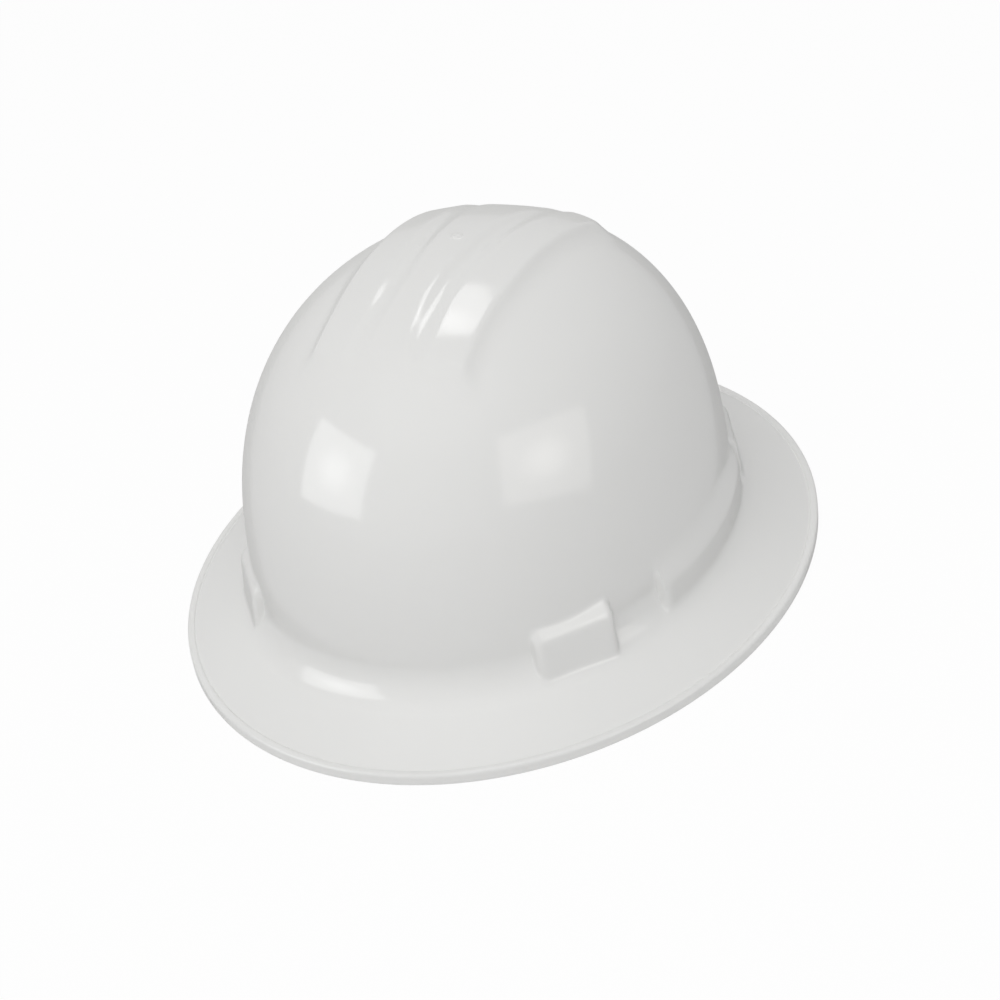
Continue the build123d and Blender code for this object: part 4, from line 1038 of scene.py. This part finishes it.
@dataclass
class CrownStraps:
    """Two flat woven straps that cross over the head, lapped and sewn round the keys' bars."""

    width: float = 19.0
    thickness: float = 1.24
    layer: float = 1.3
    cross_y: float = -15.442
    turns: Pair = (-44.068, 224.068)
    middle: float = -5.71
    reach: float = 99.58
    rises: Pair = (70.0, 67.6)
    spring: float = 48.0
    lap_foot: float = 52.5
    lap_top: float = 72.0
    arch_start: float = 4.0
    spacing: float = 0.9
    front_foot: float = 92.57
    rear_foot: float = -103.99
    loop: tuple[Pair, ...] = (
        (2.2, 48.4), (2.5, 46.6), (2.5, 43.9), (1.7, 42.75), (0.9, 42.4), (-0.9, 42.4),
        (-1.7, 42.75), (-2.5, 43.9), (-2.5, 46.6), (-2.2, 48.4))
    sewn_half_width: float = 6.5
    sewn: Pair = (55.0, 69.0)
    cross_inset: float = 1.0
    sewn_stand: float = 0.05
    sharp: float = 60.0

    def stand(self, layer: Layer, along: np.ndarray, across: np.ndarray, height: np.ndarray) -> np.ndarray:
        """Point of the strap's upright plane, moved across it."""
        turn = math.radians(self.turns[layer.value])
        return np.stack([along * math.cos(turn) - across * math.sin(turn),
                         self.cross_y + along * math.sin(turn) + across * math.cos(turn),
                         height + 0.0 * (along + across)], -1)

    def arc(self, layer: Layer, inset: float, low: float, high: float, end: int) -> np.ndarray:
        """Part of the arch's half ellipse, from one height to another at its front or rear end."""
        a, b = self.reach - inset, self.rises[layer.value] - inset
        t = np.linspace(math.asin((low - self.spring) / b), math.asin((high - self.spring) / b), 24)
        return np.stack([self.middle + end * a * np.cos(t), self.spring + b * np.sin(t)], -1)

    def route(self, layer: Layer) -> np.ndarray:
        """Middle line of the ribbon: lap, loop, arch, loop and lap, evenly spaced and rounded."""
        loop = np.array(self.loop)
        front = loop[::-1] + [self.front_foot, 0.0]
        rear = loop * [-1.0, 1.0] + [self.rear_foot, 0.0]
        a, b = self.reach - self.layer / 2.0, self.rises[layer.value] - self.layer / 2.0
        start = math.asin(self.arch_start / b)
        t = np.linspace(start, math.pi - start, 200)
        arch = np.stack([self.middle + a * np.cos(t), self.spring + b * np.sin(t)], -1)
        lap = self.layer * 1.5
        line = np.concatenate([self.arc(layer, lap, self.lap_top, self.lap_foot, 1), front, arch, rear,
                               self.arc(layer, lap, self.lap_foot, self.lap_top, -1)])
        far = run_length(line)
        even = np.linspace(0.0, far[-1], int(far[-1] / self.spacing))
        line = np.stack([np.interp(even, far, line[:, k]) for k in (0, 1)], -1)
        for _ in range(2):
            line[1:-1] = (line[:-2] + 2.0 * line[1:-1] + line[2:]) / 4.0
        return line

    def ribbon(self, layer: Layer) -> bpy.types.Object:
        """Carry the webbing's section, a flat strip with round selvedges, along the route.

        Each point is the route's point, moved across by the section's width and out by its
        thickness along the route's normal. The map's two coordinates are the way across and
        the way along, in metres.
        """
        line = self.route(layer)
        step = unit(np.gradient(line, axis=0))
        half, thin = self.width / 2.0, self.thickness / 2.0
        flat = np.linspace(-half + thin, half - thin, 9)
        edge = np.radians([60.0, 25.0, -25.0, -60.0])
        level = np.full_like(flat, thin)
        across = np.concatenate([flat, half - thin + thin * np.cos(edge),
                                 flat[::-1], -half + thin - thin * np.cos(edge)])
        out = np.concatenate([level, thin * np.sin(edge), -level, -thin * np.sin(edge)])
        d = line[:, :1] + step[:, 1:] * out[None, :]
        z = line[:, 1:] - step[:, :1] * out[None, :]
        points = self.stand(layer, d, np.broadcast_to(across, d.shape), z)
        far = np.broadcast_to(run_length(line)[:, None], d.shape)
        uv = np.stack([np.broadcast_to(across, d.shape), far], -1) * MM
        obj = make_mesh(f"{layer.name.lower()}_webbing", points.reshape(-1, 3),
                        capped_sweep(len(line), len(across)), uv=uv.reshape(-1, 2))
        turn_out(obj)
        obj.data.set_sharp_from_angle(angle=math.radians(self.sharp))
        return obj

    def stitches(self, layer: Layer) -> bpy.types.Object:
        """Box and cross of stitches through the laps, on their outer and their inner side."""
        w, (low, high) = self.sewn_half_width, self.sewn
        cross_w, cross_low, cross_high = w - self.cross_inset, low + self.cross_inset, high - self.cross_inset
        lines = [((-w, low), (w, low)), ((w, low), (w, high)), ((w, high), (-w, high)),
                 ((-w, high), (-w, low)), ((-cross_w, cross_low), (cross_w, cross_high)),
                 ((cross_w, cross_low), (-cross_w, cross_high))]
        ends = []
        for a, b in np.array(lines):
            length = float(np.linalg.norm(b - a))
            ends.append([a + (b - a) * s[:, None] / length for s in dashes(length)])
        first, last = (np.concatenate([pair[k] for pair in ends]) for k in (0, 1))
        sets = [[], [], []]
        for end in (1, -1):
            for inset, sign in ((self.layer / 2.0 - self.thickness / 2.0 - self.sewn_stand, 1.0),
                                (self.layer * 1.5 + self.thickness / 2.0 + self.sewn_stand, -1.0)):
                a, b = self.reach - inset, self.rises[layer.value] - inset
                for k, place in enumerate((first, last, (first + last) / 2.0)):
                    t = np.arcsin((place[:, 1] - self.spring) / b)
                    along = self.middle + end * a * np.cos(t)
                    point = self.stand(layer, along, place[:, 0], place[:, 1])
                    if k < 2:
                        sets[k].append(point)
                    else:
                        normal = self.stand(layer, along + sign * end * b * np.cos(t), place[:, 0],
                                            place[:, 1] + sign * a * np.sin(t))
                        sets[2].append(normal - point)
        return sew(f"{layer.name.lower()}_strap_stitches", *(np.concatenate(part) for part in sets))


@dataclass
class BrowPad:
    """Foam pad in brushed cloth, folded over the front of the headband and hemmed outside it."""

    half_width: float = 78.0
    half_length: float = 112.0
    middle_y: float = -4.0
    first_angle: float = 203.7
    last_angle: float = 336.3
    bore: float = 1.37
    bottom: float = 8.75
    top: float = 39.25
    channel_pitch: float = 22.0
    channel_width: float = 1.7
    end_round: float = 4.0
    spacing: float = 0.8
    flap_end: float = 31.5
    flap_risen: float = 39.32
    fold_inside: float = 39.22
    fold_play: float = 0.02
    fold_outside: float = 40.2
    fold_least: float = 0.03
    hems: Pair = (14.0, 34.0)
    hem_out: float = 2.5
    channel_foot: float = 11.0
    channel_run: float = 26.0
    thread: float = 0.28
    sharp: float = 70.0
    arm_angles: Pair = (218.3, 321.7)
    arm_half_angle: float = 5.7
    hollow: tuple[Pair, ...] = (
        (1.38, 31.9), (1.38, 36.0), (1.37, 39.25), (-1.37, 39.25), (-1.37, 30.0), (-1.37, 18.0),
        (-1.37, 8.75), (1.37, 8.75), (1.38, 12.0), (1.38, 16.1))
    skin: tuple[Pair, ...] = (
        (1.5, 16.5), (2.1, 16.5), (2.45, 16.1), (2.5, 14.6), (2.42, 14.0), (2.5, 13.4), (2.5, 9.0),
        (2.2, 8.0), (1.4, 7.55), (0.0, 7.5), (-1.4, 7.6), (-2.3, 8.0), (-3.2, 8.9), (-4.2, 10.7),
        (-5.1, 13.3), (-5.8, 16.6), (-6.2, 20.2), (-6.33, 24.0), (-6.2, 27.8), (-5.8, 31.4), (-5.1, 34.7),
        (-4.2, 37.3), (-3.2, 39.1), (-2.3, 40.0), (-1.4, 40.4), (0.0, 40.5), (1.4, 40.45), (2.2, 40.0),
        (2.5, 39.0), (2.5, 34.6), (2.42, 34.0), (2.5, 33.4), (2.45, 31.9), (2.1, 31.5), (1.5, 31.5))

    def line(self) -> tuple[np.ndarray, np.ndarray]:
        """Angles of the rows, and how far along the band's front each lies."""
        fine = np.radians(np.linspace(self.first_angle, self.last_angle, 4001))
        plan = np.stack([self.half_width * np.cos(fine), self.half_length * np.sin(fine)], -1)
        far = run_length(plan)
        even = np.linspace(0.0, far[-1], int(far[-1] / self.spacing) + 1)
        return np.interp(even, far, fine), even

    def channels(self, length: float) -> np.ndarray:
        """Places of the sewn channels along the pad."""
        count = round(length / self.channel_pitch)
        return np.arange(1, count) * length / count

    def notch(self, angle: np.ndarray) -> np.ndarray:
        """One where a hanger arm crosses the top flap, nought away from both, with soft sides."""
        near = np.min([np.abs(np.degrees(angle) - arm) for arm in self.arm_angles], axis=0)
        return 1.0 - smooth_step(near, self.arm_half_angle - 0.2, self.arm_half_angle + 1.0)

    def place(self, angle: np.ndarray, out: np.ndarray, height: np.ndarray) -> np.ndarray:
        """Point at a way out from the band's own oval: both half axes grown by it."""
        return np.stack([(self.half_width + out) * np.cos(angle),
                         self.middle_y + (self.half_length + out) * np.sin(angle), height + 0.0 * out], -1)

    def outward(self, angle: np.ndarray) -> np.ndarray:
        """Level normal of the band's oval."""
        across, along = np.cos(angle) / self.half_width, np.sin(angle) / self.half_length
        return unit(np.stack([across, along, 0.0 * angle], -1))

    def draw_in(self, far: np.ndarray, length: float) -> tuple[np.ndarray, np.ndarray]:
        """Share of full thickness left by the sewn channels, and by the pad's rounded ends.

        A channel takes off half by a bell curve, and the foam between two swells a little;
        an end falls off as a quarter of a circle.
        """
        near = far[:, None] - self.channels(length)[None, :]
        sewn = np.exp(-(near / self.channel_width) ** 2).sum(1)
        swell = 0.5 - 0.5 * np.cos(2.0 * math.pi * far * round(length / self.channel_pitch) / length)
        end = 1.0 - np.clip(np.minimum(far, length - far) / self.end_round, 0.0, 1.0)
        return (0.93 + 0.07 * swell) * (1.0 - 0.5 * sewn), np.sqrt(np.maximum(1.0 - end * end, 0.0))

    def risen(self, up: np.ndarray, edge: np.ndarray, top: float, fold: float) -> np.ndarray:
        """Heights of the flap drawn up towards its fold, so that its end comes to the wanted edge."""
        return top - (top - up) * np.maximum(fold - edge, self.fold_least) / (fold - self.flap_end)

    def build(self) -> bpy.types.Object:
        """Carry the folded section round the brow.

        Each point of the skin is moved towards the nearest point of the band's own slot by
        the shares of draw_in, and the top flap's end rises over each hanger arm.
        """
        angle, far = self.line()
        section = np.array(self.hollow + self.skin)
        out = np.broadcast_to(section[:, 0], (len(angle), len(section))).copy()
        up = np.broadcast_to(section[:, 1], out.shape).copy()
        raised = self.notch(angle)[:, None]
        edge = self.flap_end + (self.flap_risen - self.flap_end) * raised
        hollow = len(self.hollow)
        column = np.arange(len(section))
        inner = (column < 2)[None, :]
        up = np.where(inner, self.risen(up, edge, self.fold_inside + self.fold_play, self.fold_inside), up)
        past_fold = (column > hollow + 20) & (section[:, 0] > 1.45) & (section[:, 1] < self.fold_outside)
        up = np.where(past_fold[None, :], self.risen(up, edge, self.fold_outside, self.fold_outside), up)
        channel, end = self.draw_in(far, far[-1])
        cushion = smooth_step(-section[:, 0], 1.0, 3.0)[None, :]
        share = (1.0 + (channel[:, None] - 1.0) * cushion) * (0.35 + 0.65 * end[:, None])
        near_out = np.clip(out, -self.bore, self.bore)
        near_up = np.clip(up, self.bottom, self.top)
        skin = (column >= hollow)[None, :]
        out = np.where(skin, near_out + (out - near_out) * share, out)
        up = np.where(skin, near_up + (up - near_up) * share, up)
        points = self.place(angle[:, None], out, up)
        obj = make_mesh("brow_cushion", points.reshape(-1, 3), capped_sweep(len(angle), len(section)))
        turn_out(obj)
        obj.data.set_sharp_from_angle(angle=math.radians(self.sharp))
        return obj

    def stitches(self) -> bpy.types.Object:
        """Stitches along both hems outside, and down each channel inside."""
        angle, far = self.line()
        starts, stops = dashes(float(far[-1]) - 2.0 * self.end_round)
        first, last, out = [], [], []
        for height in self.hems:
            pair = [np.interp(self.end_round + s, far, angle) for s in (starts, stops)]
            crossed = self.notch((pair[0] + pair[1]) / 2.0) >= 0.01
            pair = [a[~(crossed & (height > self.flap_end))] for a in pair]
            for group, a in zip((first, last), pair):
                group.append(self.place(a, np.full(len(a), self.hem_out), np.full(len(a), height)))
            out.append(self.outward((pair[0] + pair[1]) / 2.0))
        inside = np.array([p for p in self.skin if p[0] < -self.bore])
        ring = np.interp(self.channels(float(far[-1])), far, angle)
        starts, stops = (s + self.channel_foot for s in dashes(self.channel_run))
        for a in ring:
            for group, s in ((first, starts), (last, stops)):
                depth = np.interp(s, inside[:, 1], inside[:, 0])
                group.append(self.place(np.full(len(s), a), -self.bore + (depth + self.bore) * 0.5, s))
            out.append(-self.outward(np.full(len(starts), a)))
        return sew("brow_stitches", *(np.concatenate(part) for part in (first, last, out)), self.thread)


@dataclass
class NapePad:
    """Small cushion on the front of the ratchet plate: flat behind, crowned towards the head."""

    middle_y: float = 8.0
    back: float = 76.38
    half_angle: float = 20.9
    middle_height: float = 22.0
    half_height: float = 14.0
    channel_width: float = 1.6
    channel_share: float = 1.0 / 3.0
    half_run: float = 27.0
    half_section: tuple[Pair, ...] = (
        (0.0, 0.0), (0.0, 0.4), (0.0, 0.84), (-0.3, 0.92), (-0.95, 0.98), (-1.8, 1.0), (-2.7, 0.975),
        (-3.6, 0.91), (-4.4, 0.8), (-4.95, 0.65), (-5.25, 0.45), (-5.4, 0.22), (-5.45, 0.0))

    def build(self) -> bpy.types.Object:
        """Carry the cushion's section round the nape.

        The section's lower half mirrors its upper one. Its long sides are drawn in between the
        corners by a fourth power, its ends are round, and two channels take off nearly half of
        its thickness by bell curves.
        """
        half = np.array(self.half_section)
        section = np.concatenate([half, half[-2:0:-1] * [1.0, -1.0]])
        share = np.sin(np.linspace(-math.pi / 2.0, math.pi / 2.0, 97))
        grid_share, grid_column = np.meshgrid(share, np.arange(len(section)), indexing="ij")
        out, up = section[grid_column, 0], section[grid_column, 1]
        end = (1.0 - np.abs(grid_share) ** 7) ** (1.0 / 2.4)
        drawn = 0.95 + 0.05 * grid_share ** 4
        sewn = np.exp(-((np.abs(grid_share) - self.channel_share) * self.half_run / self.channel_width) ** 2)
        depth = out * (0.25 + 0.75 * end) * (1.0 - 0.42 * sewn * smooth_step(-out, 0.5, 3.0))
        height = self.middle_height + self.half_height * up * drawn * (0.84 + 0.16 * end)
        pulled = 1.0 - 0.012 * (1.0 - up * up) * grid_share ** 4
        angle = math.pi / 2.0 - np.radians(self.half_angle) * grid_share * pulled
        radius = self.back + depth
        points = np.stack([radius * np.cos(angle), self.middle_y + radius * np.sin(angle), height], -1)
        obj = make_mesh("nape_cushion", points.reshape(-1, 3), capped_sweep(len(share), len(section)))
        turn_out(obj)
        return obj


# Studio
@dataclass
class Softbox:
    """One rectangular studio light that looks at the hat."""

    name: str
    azimuth: float
    elevation: float
    distance: float
    width: float
    height: float
    radiance: float
    color: Vec = (1.0, 1.0, 1.0)
    hot: float = 1.0
    hot_place: Pair = (0.5, 0.5)
    mirrored: bool = True
    roll: float = 0.0
    bell: Pair = (0.03, 0.40)
    target: Vec = (0.0, -0.02, 0.09)

    def grade(self, data: bpy.types.Light) -> None:
        """Make the light brighter about one place, by a bell curve on its own two coordinates."""
        n = Nodes(data)
        shine = next(node for node in n.tree.nodes if node.type == "EMISSION")
        away = n.add("ShaderNodeVectorMath", operation="DISTANCE")
        away.inputs[1].default_value = (*self.hot_place, 0.0)
        n.link(n.add("ShaderNodeNewGeometry").outputs["Parametric"], away.inputs[0])
        n.feed(shine, Strength=n.spread(away.outputs["Value"], self.hot, 1.0, *self.bell, "SMOOTHERSTEP"))

    def make(self) -> bpy.types.Object:
        """Hang the light where its azimuth and elevation say, facing the hat's middle."""
        a, e = math.radians(self.azimuth), math.radians(self.elevation)
        away = np.array([math.sin(a) * math.cos(e), -math.cos(a) * math.cos(e), math.sin(e)])
        data = bpy.data.lights.new(self.name, "AREA")
        data.shape = "RECTANGLE"
        data.size = self.width
        data.size_y = self.height
        data.energy = self.radiance * math.pi * self.width * self.height
        data.color = self.color
        if self.hot != 1.0:
            self.grade(data)
        obj = bpy.data.objects.new(self.name, data)
        obj.visible_glossy = self.mirrored
        obj.visible_diffuse = not self.mirrored
        bpy.context.scene.collection.objects.link(obj)
        obj.location = tuple(np.array(self.target) + away * self.distance)
        facing = Vector(tuple(-away)).to_track_quat("-Z", "Y").to_matrix()
        obj.rotation_euler = (facing @ Matrix.Rotation(math.radians(self.roll), 3, "Z")).to_euler()
        return obj


@dataclass
class Studio:
    """Pale floor, soft lights and the camera at the picture's angle."""

    camera_place: Vec = (0.36423, -0.63288, 0.49603)
    right: Vec = (0.8991, 0.4168, -0.1339)
    up: Vec = (-0.128, 0.5429, 0.83)
    back: Vec = (0.4187, -0.7291, 0.5414)
    lens: float = 70.44
    sensor: float = 36.0
    clip: Pair = (0.01, 50.0)
    floor_reach: float = 3000.0
    floor_grey: float = 0.86
    floor_white: float = 0.95
    surround: float = 0.42
    lights: list[Softbox] = field(default_factory=lambda: [
        Softbox("key_light", -44.0, 23.5, 1.5, 1.10, 0.85, 1.45, (0.985, 1.0, 1.0), 1.75, roll=11.0),
        Softbox("side_light", 76.0, 21.0, 1.6, 1.20, 0.92, 0.80, (1.0, 0.98, 0.945), 2.3, roll=-19.0),
        Softbox("top_light", -153.0, 67.0, 1.6, 0.40, 0.60, 1.80, (1.0, 1.0, 1.0), 1.7, (0.5, 0.72)),
        Softbox("fill_light", 8.0, 70.0, 2.2, 2.2, 1.8, 2.10, (1.0, 0.998, 0.99), mirrored=False),
        Softbox("front_light", 6.0, 18.0, 1.9, 1.6, 1.1, 0.57, (0.995, 1.0, 0.995), mirrored=False),
    ])

    def make(self) -> None:
        """Build the floor, the world, the lights and the camera."""
        self.make_floor()
        self.make_world()
        for light in self.lights:
            light.make()
        self.make_camera()

    def make_floor(self) -> None:
        """Flat pale floor that shows white and keeps the hat's shadow."""
        side = np.linspace(-self.floor_reach, self.floor_reach, 13)
        gx, gy = np.meshgrid(side, side, indexing="ij")
        points = np.stack([gx, gy, 0.0 * gx], -1).reshape(-1, 3)
        floor = make_mesh("floor", points, list(grid_faces(len(side), len(side), False)))
        n = material_nodes("pale_floor")
        plain = n.add("ShaderNodeBsdfDiffuse")
        n.feed(plain, Color=(self.floor_grey, self.floor_grey, self.floor_grey))
        white = n.add("ShaderNodeEmission")
        n.feed(white, Strength=1.0)
        mix = n.add("ShaderNodeMixShader")
        n.feed(mix, Fac=n.math("MULTIPLY", n.seen(), self.floor_white))
        n.link(plain.outputs[0], mix.inputs[1])
        n.link(white.outputs[0], mix.inputs[2])
        n.link(mix.outputs[0], n.output.inputs["Surface"])
        floor.data.materials.append(n.owner)

    def make_world(self) -> None:
        """Plain white surroundings: full white to the camera and in reflections, softer as light."""
        world = bpy.data.worlds.new("studio")
        bpy.context.scene.world = world
        n = Nodes(world, "ShaderNodeOutputWorld")
        background = n.add("ShaderNodeBackground")
        n.feed(background, Color=(1.0, 1.0, 1.0), Strength=n.spread(n.seen(), self.surround, 1.0))
        n.link(background.outputs[0], n.output.inputs["Surface"])

    def make_camera(self) -> None:
        """Camera at the picture's place, turn and lens."""
        data = bpy.data.cameras.new("picture_camera")
        data.sensor_width = self.sensor
        data.sensor_height = self.sensor
        data.sensor_fit = "HORIZONTAL"
        data.lens = self.lens
        data.clip_start, data.clip_end = self.clip
        camera = bpy.data.objects.new("picture_camera", data)
        bpy.context.scene.collection.objects.link(camera)
        rows = [(self.right[i], self.up[i], self.back[i], self.camera_place[i]) for i in range(3)]
        camera.matrix_world = Matrix([*rows, (0.0, 0.0, 0.0, 1.0)])
        bpy.context.scene.camera = camera


def dress(node: str, material: bpy.types.Material) -> None:
    """Give a kept solid its finish."""
    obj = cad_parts[node]
    obj.data.materials.clear()
    obj.data.materials.append(material)


def add(piece: bpy.types.Object, finish: bpy.types.Material, slot: str, *nodes: str) -> None:
    """Dress a new piece, let it ride on the shell and hide the solids that it stands for.

    Args:
        piece: new object.
        finish: its material.
        slot: name of a material slot, not used.
        nodes: names of the solids that it replaces.
    """
    piece.data.materials.append(finish)
    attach(piece, "shell")
    if nodes:
        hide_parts(*nodes)
    log.info("%s: %d faces", piece.name, len(piece.data.polygons))


def main() -> None:
    """Build the hat's pieces in order, dress them, and set up the studio."""
    logging.basicConfig(level=logging.INFO, format="%(name)s: %(message)s")
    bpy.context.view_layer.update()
    bpy.context.scene.view_settings.view_transform = "Standard"
    Studio().make()

    gloss = GlossShell().make()
    moulded = Shell()
    add(moulded.build(), gloss, "shell_plastic", "shell")
    add(moulded.gate_mark(), gloss, "shell_plastic")

    key_white = Moulded("key_plastic", (0.72, 0.72, 0.70), 0.38).make()
    band_black = Moulded("band_plastic", (0.030, 0.030, 0.033), 0.45).make()
    ratchet_black = Moulded("ratchet_plastic", (0.022, 0.022, 0.024), 0.38).make()
    webbing = Webbing("webbing", (0.10, 0.10, 0.11)).make()
    terry = Terry("pad_cloth", (0.035, 0.035, 0.038)).make()
    thread = Moulded("sewing_thread", (0.055, 0.055, 0.06), 0.7, 0.0001).make()
    rubber = Moulded("grip_rubber", (0.018, 0.018, 0.018), 0.62).make()
    steel = Steel().make()
    for node in ("front_left_key", "front_right_key", "rear_left_key", "rear_right_key"):
        dress(node, key_white)
    for node in ("headband", "left_tail", "right_tail"):
        dress(node, band_black)
    for node in ("ratchet_plate", "ratchet_cover", "pinion", "ratchet_knob"):
        dress(node, ratchet_black)
    straps = CrownStraps()
    for layer, node in ((Layer.UPPER, "crown_strap_upper"), (Layer.LOWER, "crown_strap_lower")):
        add(straps.ribbon(layer), webbing, "webbing", node)
        add(straps.stitches(layer), thread, "webbing")
    brow, nape = BrowPad(), NapePad()
    for piece, node in ((brow.build(), "brow_pad"), (nape.build(), "nape_pad")):
        add(piece, terry, "pad_cloth", node)
    add(brow.stitches(), thread, "pad_cloth")
    dress("knob_grip", rubber)
    for node in ("housing_screws", "detent_spring", "knob_screw"):
        dress(node, steel)

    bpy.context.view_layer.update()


if __name__ == "__main__":
    main()
